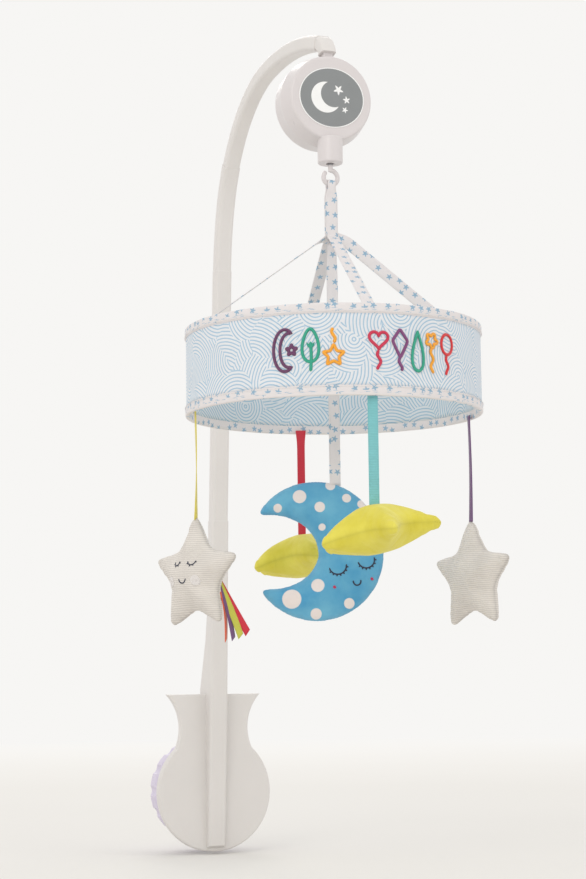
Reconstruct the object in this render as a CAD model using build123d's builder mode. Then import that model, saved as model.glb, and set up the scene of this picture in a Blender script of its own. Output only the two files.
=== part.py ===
from build123d import *
from math import atan2, cos, degrees, radians, sin, sqrt
import os

os.makedirs("parts", exist_ok=True)

# A crib mobile. The origin is where the clamp stud's axis leaves the back of the
# clamp pad, which presses on the cot. +Z is up, -Y points over the cot and +X is
# to the right of somebody who stands in front of the mobile.

# ---- driving dimensions, mm ----
RING_R = 120.0  # outside radius of the canopy ring
RING_H = 70.6  # height of the canopy ring, bindings included
RING_Z = 349.0  # middle of the canopy ring
SPIN_Y = -323.0  # the vertical axis that the canopy turns about
RING_TURN = -7.0  # how far the canopy is turned, degrees
VIEW_TURN = -20.6  # the moon's width runs this way, degrees from +X

PLATE_R = 55.2
PLATE_TOP = 91.0
PLATE_FRONT = -8.0
PAD_T = 1.5
STUD_R = 5.0
STUD_END = 62.0
RAIL_T = 25.0  # the gap that the clamp is closed to
LIP_Z = 86.0  # underside of the foot that rests on the rail

POST_JOINT_Z = 253.0
ARM_JOINT = (-41.5, 489.0)  # y, z where the curved arm begins
LOWER_W, LOWER_D = 17.0, 14.4
MIDDLE_W, MIDDLE_D = 16.2, 14.0
UPPER_W, UPPER_D = 15.4, 13.6
TOP_W, TOP_D = 14.2, 12.8
TIP_W, TIP_D = 13.2, 11.8
TUBE_WALL = 2.0
PLUG_LENGTH = 12.0
PLUG_GAP = 0.15
FOOT_TOP_Y = -24.0  # middle of the post where its middle segment begins
GENTLE_R, BEND_R, REACH_R, NOSE_R = 250.0, 144.0, 320.0, 16.0
LEAN_START = degrees(atan2(FOOT_TOP_Y - ARM_JOINT[0], ARM_JOINT[1] - POST_JOINT_Z))
LEAN_BEND, LEAN_JOINT, LEAN_REACH, LEAN_END = 17.0, 34.9, 85.0, 109.0
NOSE_TURN = 60.0

BOX_Z = 577.0
BOX_FACE_R, BOX_PARTING_R, BOX_REAR_R = 35.2, 38.5, 37.0
BOX_FACE_Y, BOX_PARTING_Y, BOX_REAR_Y = -328.0, -311.0, -293.0
BOX_WALL = 1.8
LABEL_HALF_W, LABEL_HALF_H, LABEL_T = 28.4, 25.2, 0.5
COLLAR_R, COLLAR_BOTTOM, COLLAR_TOP = 10.35, 522.5, 543.9
BEARING_R, BEARING_TOP = 3.05, 556.0
RUNNING = 0.05  # radial clearance of shafts in bores

FINE_MODULE, MODULE = 0.5, 0.8  # the output pair is finer than the other wheels
CROWN_TEETH, OUTPUT_TEETH = 48, 10
SPUR_TEETH, DRUM_TEETH, FAN_TEETH = 40, 12, 8
ARBOR_R = 2.5
SHAFT_R = 2.0
AXLE_R = 1.2
PLATE_Y = -303.2  # front of the movement plate
MOVEMENT_R = 30.0

HOOK_ROD_R = 1.9
HOOK_R = 6.1
HOOK_Z = 511.0
HOOK_OPENING = 55.0  # degrees left open, at the top left
HUB_Z = 461.0
STRAP_W = 10.7
RIBBON_T = 0.8

STAR_R = 46.0
STAR_WAIST = 0.56
STAR_T = 30.0
MOON_R, MOON_BITE_R, MOON_BITE = 56.0, 33.6, 32.0
MOON_OFFSET = -18.0
MOON_Z = 204.3
MOON_T = 34.0
TOY_R = 114.0  # radius that the toys hang at
RIBBON_TOP_Z = 316.5

RING_BOTTOM = RING_Z - RING_H / 2
RING_TOP = RING_Z + RING_H / 2
BINDING_H = 8.0
HOOK_BOTTOM = HOOK_Z - HOOK_R  # centre of the rod at the hook's lowest point


def finish(builder, name):
    """Label a finished piece and write it to its own file."""
    builder.part.label = name
    export_step(builder.part, f"parts/{name}.step")


def on_ring(radius, angle, z):
    """A point at a radius and angle about the canopy's axis."""
    turn = radians(angle)
    return (radius * cos(turn), SPIN_Y + radius * sin(turn), z)


def facing(origin, azimuth):
    """An upright plane whose normal points towards an azimuth, with Z up in it."""
    turn = radians(azimuth)
    return Plane(origin=origin, x_dir=(-sin(turn), cos(turn), 0), z_dir=(cos(turn), sin(turn), 0))


def heading(lean):
    """A direction in the YZ plane that leans forward of vertical by some degrees."""
    return (-sin(radians(lean)), cos(radians(lean)))


def arm_step(start, lean, radius, turn):
    """Where an arc in the YZ plane ends, from its start, lean, radius and turn."""
    first, last = radians(lean), radians(lean + turn)
    y = start[0] - radius * (cos(first) - cos(last))
    z = start[1] + radius * (sin(last) - sin(first))
    return (y, z)


def swept(path, width, depth, corner, mode=Mode.ADD):
    """Sweep a rounded rectangle along a path in the YZ plane."""
    with BuildSketch(Plane(origin=path @ 0, x_dir=(1, 0, 0), z_dir=path % 0)) as section:
        RectangleRounded(width, depth, corner)
    sweep(section.sketch, path=path, mode=mode)


def arc_path(start, lean, *arcs):
    """A chain of tangent arcs in the YZ plane, each a radius and a turn in degrees."""
    with BuildLine(Plane.YZ) as line:
        for radius, turn in arcs:
            JernArc(start=start, tangent=heading(lean), radius=radius, arc_size=turn)
            start = arm_step(start, lean, radius, turn)
            lean = lean + turn
    return line.wire()


def plug_size(width, depth):
    """The size of the plug that fits inside a tube of some outside size."""
    return width - 2 * (TUBE_WALL + PLUG_GAP), depth - 2 * (TUBE_WALL + PLUG_GAP)


# ---- clamp: plate, foot of the post, pad, stud, pressure washer and knob ----


def plate_outline():
    """The guitar-shaped outline: a disc, a waist and a flared top."""
    shoulder = (37.5, 40.5)
    waist = (33.4, 60.0)
    top = (46.0, PLATE_TOP)
    with BuildLine() as outline:
        ThreePointArc(top, waist, shoulder)
        ThreePointArc(shoulder, (0, -PLATE_R), (-shoulder[0], shoulder[1]))
        ThreePointArc((-shoulder[0], shoulder[1]), (-waist[0], waist[1]), (-top[0], top[1]))
        Line((-top[0], top[1]), top)
    make_face(outline.edges())


top_across = (LOWER_D / 2 * cos(radians(LEAN_START)), LOWER_D / 2 * sin(radians(LEAN_START)))
foot_profile = [
    (-5, -53),
    (-14, -49),
    (-24, 92),
    (FOOT_TOP_Y - top_across[0], POST_JOINT_Z - top_across[1]),
    (FOOT_TOP_Y + top_across[0], POST_JOINT_Z + top_across[1]),
    (-13.5, 165),
    (-8, 140),
    (9, 95),
    (9, LIP_Z),
    (-5, LIP_Z),
]
plug_rise = Vector(0, *heading(LEAN_START)) * PLUG_LENGTH
with BuildLine() as lower_plug_path:
    Line((0, FOOT_TOP_Y, POST_JOINT_Z), Vector(0, FOOT_TOP_Y, POST_JOINT_Z) + plug_rise)

with BuildPart() as foot:
    with BuildSketch(Plane.YZ):
        Polygon(*foot_profile, align=None)
    extrude(amount=LOWER_W / 2, both=True)
    long_edges = foot.edges().filter_by(lambda e: abs(e.center().X) > 1 and e.length > 40)
    fillet(long_edges.filter_by(lambda e: e.center().Y < -7), 3)

with BuildPart() as clamp_plate:
    with BuildSketch(Plane.XZ.offset(PAD_T)) as outline:
        plate_outline()
        fillet(outline.vertices().sort_by(Axis.Z)[-2:], 3)
    extrude(amount=-PLATE_FRONT - PAD_T)
    fillet(clamp_plate.faces().sort_by(Axis.Y)[0].edges(), 2)
    add(foot.part)
    swept(lower_plug_path.wire(), *plug_size(MIDDLE_W, MIDDLE_D), 1.5)
    with BuildSketch(Plane.XZ):
        Circle(STUD_R)
    extrude(amount=-PLATE_FRONT - 2, mode=Mode.SUBTRACT)
finish(clamp_plate, "clamp_plate")

with BuildPart() as clamp_pad:
    with BuildSketch(Plane.XZ):
        plate_outline()
        offset(amount=-8, mode=Mode.REPLACE)
        Circle(STUD_R + 1, mode=Mode.SUBTRACT)
    extrude(amount=PAD_T)
finish(clamp_pad, "clamp_pad")

with BuildPart() as clamp_stud:
    with BuildSketch(Plane.XZ.offset(-STUD_END)):
        Circle(STUD_R)
    extrude(amount=STUD_END - PLATE_FRONT - 2)
    chamfer(clamp_stud.faces().sort_by(Axis.Y)[-1].edges(), 1)
finish(clamp_stud, "clamp_stud")

WASHER_R, WASHER_T = 34.0, 5.0
with BuildPart() as clamp_washer:
    with BuildSketch(Plane.XZ.offset(-RAIL_T - WASHER_T)):
        Circle(WASHER_R)
    extrude(amount=WASHER_T)
    fillet(clamp_washer.edges().filter_by(GeomType.CIRCLE), 1.5)
    with BuildSketch(Plane.XZ.offset(-RAIL_T - WASHER_T)):
        Circle(STUD_R + RUNNING)
    extrude(amount=WASHER_T, mode=Mode.SUBTRACT)
finish(clamp_washer, "clamp_washer")

KNOB_R, KNOB_T, KNOB_START = 47.0, 20.0, RAIL_T + WASHER_T + 0.3
with BuildPart() as clamp_knob:
    with BuildSketch(Plane.XZ.offset(-KNOB_START - KNOB_T)):
        Circle(KNOB_R)
    extrude(amount=KNOB_T)
    fillet(clamp_knob.edges().filter_by(GeomType.CIRCLE), 5)
    with BuildSketch(Plane.XZ.offset(-KNOB_START - KNOB_T)):
        with PolarLocations(KNOB_R + 3.5, 14):
            Circle(6)
    extrude(amount=KNOB_T, mode=Mode.SUBTRACT)
    with BuildSketch(Plane.XZ.offset(-KNOB_START - KNOB_T)):
        Circle(STUD_R + RUNNING)
    extrude(amount=KNOB_T, mode=Mode.SUBTRACT)
finish(clamp_knob, "clamp_knob")

# ---- post and arm: tubes that plug into one another ----

with BuildLine() as middle_path:
    Line((0, FOOT_TOP_Y, POST_JOINT_Z), (0, *ARM_JOINT))
with BuildLine() as middle_bore:
    Line(middle_path.wire() @ 0, middle_path.wire() @ 0.95)
with BuildPart() as post_middle:
    swept(middle_path.wire(), MIDDLE_W, MIDDLE_D, 3.5)
    swept(
        middle_bore.wire(),
        MIDDLE_W - 2 * TUBE_WALL,
        MIDDLE_D - 2 * TUBE_WALL,
        1.7,
        mode=Mode.SUBTRACT,
    )
    plug_turn = PLUG_LENGTH / radians(GENTLE_R)
    swept(
        arc_path(ARM_JOINT, LEAN_START, (GENTLE_R, plug_turn)), *plug_size(UPPER_W, UPPER_D), 1.5
    )
finish(post_middle, "post_middle")

bend_start = arm_step(ARM_JOINT, LEAN_START, GENTLE_R, LEAN_BEND - LEAN_START)
top_start = arm_step(bend_start, LEAN_BEND, BEND_R, LEAN_JOINT - LEAN_BEND)
reach_start = arm_step(top_start, LEAN_JOINT, BEND_R, LEAN_REACH - LEAN_JOINT)
nose_start = arm_step(reach_start, LEAN_REACH, REACH_R, LEAN_END - LEAN_REACH)

with BuildPart() as post_upper:
    gentle = (GENTLE_R, LEAN_BEND - LEAN_START)
    bend = LEAN_JOINT - LEAN_BEND
    swept(arc_path(ARM_JOINT, LEAN_START, gentle, (BEND_R, bend)), UPPER_W, UPPER_D, 3.4)
    swept(
        arc_path(ARM_JOINT, LEAN_START, gentle, (BEND_R, bend - 4)),
        UPPER_W - 2 * TUBE_WALL,
        UPPER_D - 2 * TUBE_WALL,
        1.7,
        mode=Mode.SUBTRACT,
    )
    swept(
        arc_path(top_start, LEAN_JOINT, (BEND_R, PLUG_LENGTH / radians(BEND_R))),
        *plug_size(TOP_W, TOP_D),
        1.5,
    )
finish(post_upper, "post_upper")

with BuildPart() as arm_top:
    bend = (BEND_R, LEAN_REACH - LEAN_JOINT)
    reach = LEAN_END - LEAN_REACH
    swept(arc_path(top_start, LEAN_JOINT, bend, (REACH_R, reach)), TOP_W, TOP_D, 3.2)
    swept(
        arc_path(top_start, LEAN_JOINT, bend, (REACH_R, reach - 1)),
        TOP_W - 2 * TUBE_WALL,
        TOP_D - 2 * TUBE_WALL,
        1.7,
        mode=Mode.SUBTRACT,
    )
finish(arm_top, "arm_top")

LUG_W, LUG_D, LUG_TOP, LUG_Y = 8.0, 5.0, 622.0, -319.3
with BuildPart() as arm_tip:
    swept(arc_path(nose_start, LEAN_END, (NOSE_R, NOSE_TURN)), TIP_W, TIP_D, 3.0)
    with Locations((0, LUG_Y, LUG_TOP - 10)):
        Box(LUG_W + 0.2, LUG_D + 0.2, 20.2, mode=Mode.SUBTRACT)
    with BuildSketch(Plane.XZ.offset(-BOX_REAR_Y)):
        with Locations((0, BOX_Z)):
            Circle(BOX_PARTING_R + 0.1)
    extrude(amount=BOX_REAR_Y - BOX_FACE_Y + 5, mode=Mode.SUBTRACT)
finish(arm_tip, "arm_tip")

# ---- music box: two shells, badge, screws, collar ----

box_axis = Axis((0, 0, BOX_Z), (0, 1, 0))
SCREW_R, SCREW_HEAD_R, BOSS_R, BOSS_RADIUS = 1.3, 2.6, 3.4, 30.5
SCREW_ANGLES = (210, 330, 90)


def shell_wall(front_y, front_r, back_y, back_r, closed_front):
    """Outline of one half shell, in the YZ half plane above the box's axis."""
    inset = BOX_WALL
    if closed_front:
        inner = [(back_y, back_r - inset), (front_y + inset, front_r - inset), (front_y + inset, 0)]
        outer = [(front_y, 0), (front_y, front_r), (back_y, back_r)]
    else:
        inner = [(front_y, front_r - inset), (back_y - inset, back_r - inset), (back_y - inset, 0)]
        outer = [(back_y, 0), (back_y, back_r), (front_y, front_r)]
    return [(y, BOX_Z + r) for y, r in outer + inner]


def screw_spots():
    """Where the shell screws stand, in the box's XZ plane."""
    for angle in SCREW_ANGLES:
        yield (BOSS_RADIUS * cos(radians(angle)), BOX_Z + BOSS_RADIUS * sin(radians(angle)))


with BuildPart() as box_front_shell:
    with BuildSketch(Plane.YZ):
        Polygon(*shell_wall(BOX_FACE_Y, BOX_FACE_R, BOX_PARTING_Y, BOX_PARTING_R, True), align=None)
        rim = vertices().filter_by(lambda v: abs(v.Y - BOX_Z - BOX_FACE_R) < 0.01)
        fillet(rim, 2.2)
    revolve(axis=box_axis)
    with BuildSketch(Plane.XZ.offset(-BOX_PARTING_Y)):
        with Locations(*screw_spots()):
            Circle(BOSS_R)
    extrude(amount=BOX_PARTING_Y - BOX_FACE_Y - BOX_WALL)
    with BuildSketch(Plane.XZ.offset(-BOX_PARTING_Y)):
        with Locations(*screw_spots()):
            Circle(SCREW_R)
    extrude(amount=8, mode=Mode.SUBTRACT)
    with Locations((0, LUG_Y, LUG_TOP - 5)):
        Box(LUG_W, LUG_D, 10)
    with Locations((0, SPIN_Y, COLLAR_TOP - 15)):
        Cylinder(COLLAR_R + RUNNING, 30.2, mode=Mode.SUBTRACT)
finish(box_front_shell, "box_front_shell")

with BuildPart() as box_rear_shell:
    with BuildSketch(Plane.YZ):
        Polygon(*shell_wall(BOX_PARTING_Y, BOX_PARTING_R, BOX_REAR_Y, BOX_REAR_R, False), align=None)
        rim = vertices().filter_by(lambda v: abs(v.Y - BOX_Z - BOX_REAR_R) < 0.01)
        fillet(rim, 2.5)
    revolve(axis=box_axis)
    with BuildSketch(Plane.XZ.offset(-BOX_PARTING_Y)):
        with Locations(*screw_spots()):
            Circle(BOSS_R)
    extrude(amount=-(BOX_REAR_Y - BOX_PARTING_Y - BOX_WALL))
    with BuildSketch(Plane.XZ.offset(-BOX_PARTING_Y)):
        with Locations(*screw_spots()):
            Circle(SCREW_R + 0.2)
        with Locations((0, BOX_Z)):
            Circle(ARBOR_R + RUNNING)
    extrude(amount=-30, mode=Mode.SUBTRACT)
    with BuildSketch(Plane.XZ.offset(-BOX_REAR_Y)):
        with Locations(*screw_spots()):
            Circle(SCREW_HEAD_R + 0.3)
    extrude(amount=2.2, mode=Mode.SUBTRACT)
    with Locations((0, SPIN_Y, COLLAR_TOP - 15)):
        Cylinder(COLLAR_R + RUNNING, 30.2, mode=Mode.SUBTRACT)
finish(box_rear_shell, "box_rear_shell")

with BuildPart() as shell_screws:
    with BuildSketch(Plane.XZ.offset(-BOX_REAR_Y + 2)):
        with Locations(*screw_spots()):
            Circle(SCREW_R)
    extrude(amount=BOX_REAR_Y - BOX_PARTING_Y + 4)
    with BuildSketch(Plane.XZ.offset(-BOX_REAR_Y + 0.4)):
        with Locations(*screw_spots()):
            Circle(SCREW_HEAD_R)
            Rectangle(2.8, 0.8, mode=Mode.SUBTRACT)
            Rectangle(0.8, 2.8, mode=Mode.SUBTRACT)
    extrude(amount=1.6)
finish(shell_screws, "shell_screws")

with BuildPart() as box_label:
    with BuildSketch(Plane.XZ.offset(-BOX_FACE_Y)):
        with Locations((0, BOX_Z)):
            Ellipse(LABEL_HALF_W, LABEL_HALF_H)
    extrude(amount=LABEL_T)
finish(box_label, "box_label")

with BuildPart() as output_collar:
    with BuildSketch(Plane((0, SPIN_Y, COLLAR_BOTTOM))):
        Circle(COLLAR_R)
    extrude(amount=COLLAR_TOP - COLLAR_BOTTOM)
    fillet(output_collar.faces().sort_by(Axis.Z)[0].edges(), 1.5)
    with BuildSketch(Plane((0, SPIN_Y, COLLAR_TOP))):
        Circle(BEARING_R)
    extrude(amount=BEARING_TOP - COLLAR_TOP)
    with BuildSketch(Plane((0, SPIN_Y, COLLAR_BOTTOM))):
        Circle(3.6)
    extrude(amount=5, mode=Mode.SUBTRACT)
    with BuildSketch(Plane((0, SPIN_Y, COLLAR_BOTTOM))):
        Circle(SHAFT_R + RUNNING)
    extrude(amount=BEARING_TOP - COLLAR_BOTTOM, mode=Mode.SUBTRACT)
finish(output_collar, "output_collar")

# ---- movement: wheels in mesh, drum, comb and governor ----

CROWN_PITCH_R = FINE_MODULE * CROWN_TEETH / 2
SPUR_PITCH_R = MODULE * SPUR_TEETH / 2
OUTPUT_PITCH_R = FINE_MODULE * OUTPUT_TEETH / 2
DRUM_PITCH_R = MODULE * DRUM_TEETH / 2
FAN_PITCH_R = MODULE * FAN_TEETH / 2
MESH_Y = SPIN_Y + OUTPUT_PITCH_R  # the plane where the crown teeth meet the pinion
DRUM_ANGLE, FAN_ANGLE = 135.0, 45.0
WHEEL_T = 2.4
WHEEL_FRONT = MESH_Y + 0.65
CROWN_H = 1.02
BARREL_R, BARREL_T = 13.0, 9.6


def gear_points(teeth, first=0.0, centre=(0.0, 0.0), module=MODULE):
    """A spur wheel's outline: trapezoid teeth that leave play on both flanks."""
    pitch_r = module * teeth / 2
    step = 360 / teeth
    shape = [(-0.30, -1.0), (-0.12, 0.75), (0.12, 0.75), (0.30, -1.0)]
    points = []
    for tooth in range(teeth):
        for share, height in shape:
            angle = radians(first + (tooth + share) * step)
            radius = pitch_r + height * module
            points.append((centre[0] + radius * cos(angle), centre[1] + radius * sin(angle)))
    return points


def beside_barrel(pitch_r, angle):
    """The centre of a pinion in mesh with the barrel's rim teeth, in the XZ plane."""
    distance = SPUR_PITCH_R + pitch_r
    return (distance * cos(radians(angle)), BOX_Z + distance * sin(radians(angle)))


drum_spot = beside_barrel(DRUM_PITCH_R, DRUM_ANGLE)
fan_spot = beside_barrel(FAN_PITCH_R, FAN_ANGLE)

with BuildPart() as spring_barrel:
    with BuildSketch(Plane.XZ.offset(-WHEEL_FRONT)):
        Polygon(*gear_points(SPUR_TEETH, centre=(0, BOX_Z)), align=None)
    extrude(amount=-WHEEL_T)
    with BuildSketch(Plane.XZ.offset(-WHEEL_FRONT)):
        with Locations((0, BOX_Z)):
            with PolarLocations(CROWN_PITCH_R, CROWN_TEETH, start_angle=180 / CROWN_TEETH - 90):
                Rectangle(1.8, 0.56)
    extrude(amount=CROWN_H)
    with BuildSketch(Plane.XZ.offset(-WHEEL_FRONT - WHEEL_T)):
        with Locations((0, BOX_Z)):
            Circle(BARREL_R)
            Circle(BARREL_R - 1.2, mode=Mode.SUBTRACT)
    extrude(amount=-BARREL_T)
    with BuildSketch(Plane.XZ.offset(-WHEEL_FRONT + 3)):
        with Locations((0, BOX_Z)):
            Circle(ARBOR_R + RUNNING)
    extrude(amount=-20, mode=Mode.SUBTRACT)
finish(spring_barrel, "spring_barrel")

SPRING_TURNS = 5
with BuildPart() as mainspring:
    with BuildSketch(Plane.XZ.offset(-WHEEL_FRONT - WHEEL_T - 0.8)):
        with Locations((0, BOX_Z)):
            for turn in range(SPRING_TURNS):
                coil_r = 4.2 + 1.5 * turn
                Circle(coil_r + 0.25)
                Circle(coil_r - 0.25, mode=Mode.SUBTRACT)
            with Locations((6.9, 0)):
                Rectangle(7.4, 0.5)
    extrude(amount=-BARREL_T + 1.6)
finish(mainspring, "mainspring")

with BuildPart() as movement_plate:
    with BuildSketch(Plane.XZ.offset(-PLATE_Y)):
        with Locations((0, BOX_Z)):
            Circle(MOVEMENT_R)
            Circle(ARBOR_R + RUNNING, mode=Mode.SUBTRACT)
        with Locations(*screw_spots()):
            Circle(BOSS_R + 0.3, mode=Mode.SUBTRACT)
        with Locations(drum_spot, fan_spot):
            Circle(AXLE_R + RUNNING, mode=Mode.SUBTRACT)
    extrude(amount=-1.6)
finish(movement_plate, "movement_plate")

KEY_Y = BOX_REAR_Y + 3.0
with BuildPart() as winding_arbor:
    with BuildSketch(Plane.XZ.offset(-WHEEL_FRONT + 1)):
        with Locations((0, BOX_Z)):
            Circle(ARBOR_R)
    extrude(amount=WHEEL_FRONT - 1 - KEY_Y - 8)
finish(winding_arbor, "winding_arbor")

with BuildPart() as wind_key:
    with BuildSketch(Plane.XZ.offset(-KEY_Y)):
        with Locations((0, BOX_Z)):
            Circle(5.5)
    extrude(amount=-9)
    with BuildSketch(Plane.XZ.offset(-KEY_Y - 4)):
        with Locations((0, BOX_Z)):
            SlotOverall(28, 4)
    extrude(amount=-12)
    fillet(wind_key.faces().sort_by(Axis.Y)[-1].edges(), 1.2)
    with BuildSketch(Plane.XZ.offset(-KEY_Y)):
        with Locations((0, BOX_Z)):
            Circle(ARBOR_R)
    extrude(amount=-8, mode=Mode.SUBTRACT)
finish(wind_key, "wind_key")

DRUM_R = 5.4
with BuildPart() as music_drum:
    with BuildSketch(Plane.XZ.offset(-WHEEL_FRONT)):
        Polygon(*gear_points(DRUM_TEETH, centre=drum_spot), align=None)
    extrude(amount=-WHEEL_T)
    with BuildSketch(Plane.XZ.offset(-WHEEL_FRONT - WHEEL_T)):
        with Locations(drum_spot):
            Circle(DRUM_R)
    extrude(amount=-8)
    for row in range(4):
        with BuildSketch(Plane.XZ.offset(-WHEEL_FRONT - WHEEL_T - 1.2 - 1.8 * row)):
            with Locations(drum_spot):
                with PolarLocations(DRUM_R, 5, start_angle=31 * row):
                    Rectangle(1.2, 0.5)
        extrude(amount=-0.5)
    with BuildSketch(Plane.XZ.offset(-WHEEL_FRONT)):
        with Locations(drum_spot):
            Circle(AXLE_R)
    extrude(amount=WHEEL_FRONT - PLATE_Y - 1.6)
finish(music_drum, "music_drum")

COMB_TEETH = 8
COMB_Z = drum_spot[1] + DRUM_R + 1.3
COMB_FRONT = WHEEL_FRONT + WHEEL_T + 0.2
with BuildPart() as tone_comb:
    with BuildSketch(Plane((0, 0, COMB_Z))):
        with Locations((-1.5, COMB_FRONT)):
            Rectangle(3, PLATE_Y - COMB_FRONT, align=(Align.CENTER, Align.MIN))
        for tooth in range(COMB_TEETH):
            with Locations((-2.5, COMB_FRONT + 0.4 + 0.95 * tooth)):
                Rectangle(11.5 - 0.4 * tooth, 0.6, align=(Align.MAX, Align.CENTER))
    extrude(amount=0.8)
    with Locations((-1.5, (PLATE_Y + COMB_FRONT) / 2, COMB_Z + 1.2)):
        Box(3, PLATE_Y - COMB_FRONT, 1.2)
finish(tone_comb, "tone_comb")

with BuildPart() as governor:
    with BuildSketch(Plane.XZ.offset(-WHEEL_FRONT)):
        Polygon(*gear_points(FAN_TEETH, first=22.5, centre=fan_spot), align=None)
    extrude(amount=-WHEEL_T)
    with BuildSketch(Plane.XZ.offset(-WHEEL_FRONT)):
        with Locations(fan_spot):
            Circle(AXLE_R)
    extrude(amount=WHEEL_FRONT - PLATE_Y - 1.6)
    with BuildSketch(Plane.XZ.offset(-WHEEL_FRONT - WHEEL_T)):
        with Locations(fan_spot):
            Circle(2.2)
            Rectangle(9, 0.8)
    extrude(amount=-8)
finish(governor, "governor")

# ---- output: shaft with its pinion, and the hook ----

PINION_Z = BOX_Z - CROWN_PITCH_R
with BuildPart() as output_shaft:
    with BuildSketch(Plane((0, SPIN_Y, HOOK_Z + HOOK_R + 4))):
        Circle(SHAFT_R)
    extrude(amount=PINION_Z + 3 - HOOK_Z - HOOK_R - 4)
    with BuildSketch(Plane((0, SPIN_Y, PINION_Z - 1.5))):
        Polygon(*gear_points(OUTPUT_TEETH, first=90, module=FINE_MODULE), align=None)
    extrude(amount=3)
    with BuildSketch(Plane((0, SPIN_Y, BEARING_TOP + 0.1))):
        Circle(2.9)
    extrude(amount=1.6)
finish(output_shaft, "output_shaft")

with BuildPart() as snap_hook:
    with BuildLine(Plane((0, SPIN_Y, HOOK_Z), x_dir=(1, 0, 0), z_dir=(0, -1, 0))) as hook_line:
        CenterArc((0, 0), HOOK_R, 90, -(360 - HOOK_OPENING))
    with BuildSketch(Plane(origin=hook_line.wire() @ 0, z_dir=hook_line.wire() % 0)):
        Circle(HOOK_ROD_R)
    sweep(path=hook_line.wire())
    with BuildSketch(Plane((0, SPIN_Y, HOOK_Z + HOOK_R - 1))):
        Circle(HOOK_ROD_R)
    extrude(amount=5)
    with Locations(hook_line.wire() @ 1):
        Sphere(HOOK_ROD_R)
finish(snap_hook, "snap_hook")

# ---- canopy: strap, four ribbons, ring of fabric with bindings ----

LOOP_GAP = 0.4
LOOP_W = 6.0
LOOP_TOP = HOOK_BOTTOM + HOOK_ROD_R + 1.7
HUB_SIZE = 11.0
with BuildPart() as hanger_strap:
    slot_r = HOOK_ROD_R + LOOP_GAP
    with BuildSketch(Plane.YZ):
        with BuildLine():
            FilletPolyline(
                (SPIN_Y - slot_r - 0.9, LOOP_TOP + 0.9),
                (SPIN_Y + slot_r + 0.9, LOOP_TOP + 0.9),
                (SPIN_Y + slot_r + 0.9, HOOK_BOTTOM - slot_r),
                (SPIN_Y + 1, 495),
                (SPIN_Y - 1, 495),
                (SPIN_Y - slot_r - 0.9, HOOK_BOTTOM - slot_r),
                close=True,
                radius=0.8,
            )
        make_face()
        with BuildLine():
            FilletPolyline(
                (SPIN_Y - slot_r, LOOP_TOP),
                (SPIN_Y + slot_r, LOOP_TOP),
                (SPIN_Y + slot_r, HOOK_BOTTOM - slot_r),
                (SPIN_Y - slot_r, HOOK_BOTTOM - slot_r),
                close=True,
                radius=0.5,
            )
        make_face(mode=Mode.SUBTRACT)
    extrude(amount=LOOP_W / 2, both=True)
    with Locations((0, SPIN_Y, (HUB_Z + 497) / 2)):
        Box(STRAP_W, 2, 497 - HUB_Z)
    with Locations((0, SPIN_Y, HUB_Z)):
        Box(HUB_SIZE, HUB_SIZE, 6)
finish(hanger_strap, "hanger_strap")

RIBBON_W = 10.0
RIBBON_IN = HUB_SIZE / 2 + 1.0
RIBBON_OUT = RING_R - 4.6
ANCHOR_Z = 380.0
anchors = {"left": 180.0, "front": -90.0, "right": 0.0, "back": 90.0}


def canopy_ribbon(name, angle, upright):
    """A flat ribbon from the hub to the ring. An upright one is turned onto its edge."""
    spare = 0.34 * RIBBON_W if upright else 0.0
    start = Vector(on_ring(RIBBON_IN + spare, angle, HUB_Z - 1))
    end = Vector(on_ring(RIBBON_OUT - spare, angle, ANCHOR_Z))
    run = end - start
    across = Vector(-sin(radians(angle)), cos(radians(angle)), 0)
    width_dir = run.cross(across).normalized() if upright else across
    with BuildPart() as ribbon:
        with BuildSketch(Plane(origin=start, x_dir=width_dir, z_dir=run)):
            Rectangle(RIBBON_W, RIBBON_T)
        extrude(amount=run.length)
    finish(ribbon, f"canopy_ribbon_{name}")


for side, base_angle in anchors.items():
    canopy_ribbon(side, base_angle + RING_TURN, upright=side == "right")


def ring_piece(name, inner_r, outer_r, low, high, round_r=0.0):
    """A ring about the canopy's axis, with rounded edges if round_r is given."""
    with BuildPart() as ring:
        with BuildSketch(Plane((0, SPIN_Y, low))):
            Circle(outer_r)
            Circle(inner_r, mode=Mode.SUBTRACT)
        extrude(amount=high - low)
        if round_r:
            fillet(ring.edges().filter_by(GeomType.CIRCLE), round_r)
    finish(ring, name)


band_low, band_high = RING_BOTTOM + BINDING_H, RING_TOP - BINDING_H
ring_piece("canopy_band", RING_R - 2.0, RING_R - 1.0, band_low, band_high)
ring_piece("canopy_hoop", RING_R - 2.7, RING_R - 2.1, band_low, band_high)
ring_piece("canopy_lining", RING_R - 3.4, RING_R - 2.8, band_low, band_high)
ring_piece("top_binding", RING_R - 3.6, RING_R, band_high, RING_TOP, 1.2)
ring_piece("bottom_binding", RING_R - 3.6, RING_R, RING_BOTTOM, band_low, 1.2)

# ---- toys: plush shapes crowned by two large spheres ----


def hanging_ribbon(name, spot, top_z, bottom_z, width, azimuth):
    """A narrow ribbon that hangs straight down, its flat side facing an azimuth."""
    with BuildPart() as ribbon:
        with BuildSketch(facing((spot[0], spot[1], bottom_z), azimuth)):
            Rectangle(width, top_z - bottom_z, align=(Align.CENTER, Align.MIN))
        extrude(amount=RIBBON_T / 2, both=True)
    finish(ribbon, name)


def star_points(radius, first):
    """The corners of a five-pointed star, tip by tip."""
    points = []
    for corner in range(10):
        reach = radius if corner % 2 == 0 else radius * STAR_WAIST
        angle = radians(first + 36 * corner)
        points.append((reach * cos(angle), reach * sin(angle)))
    return points


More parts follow.
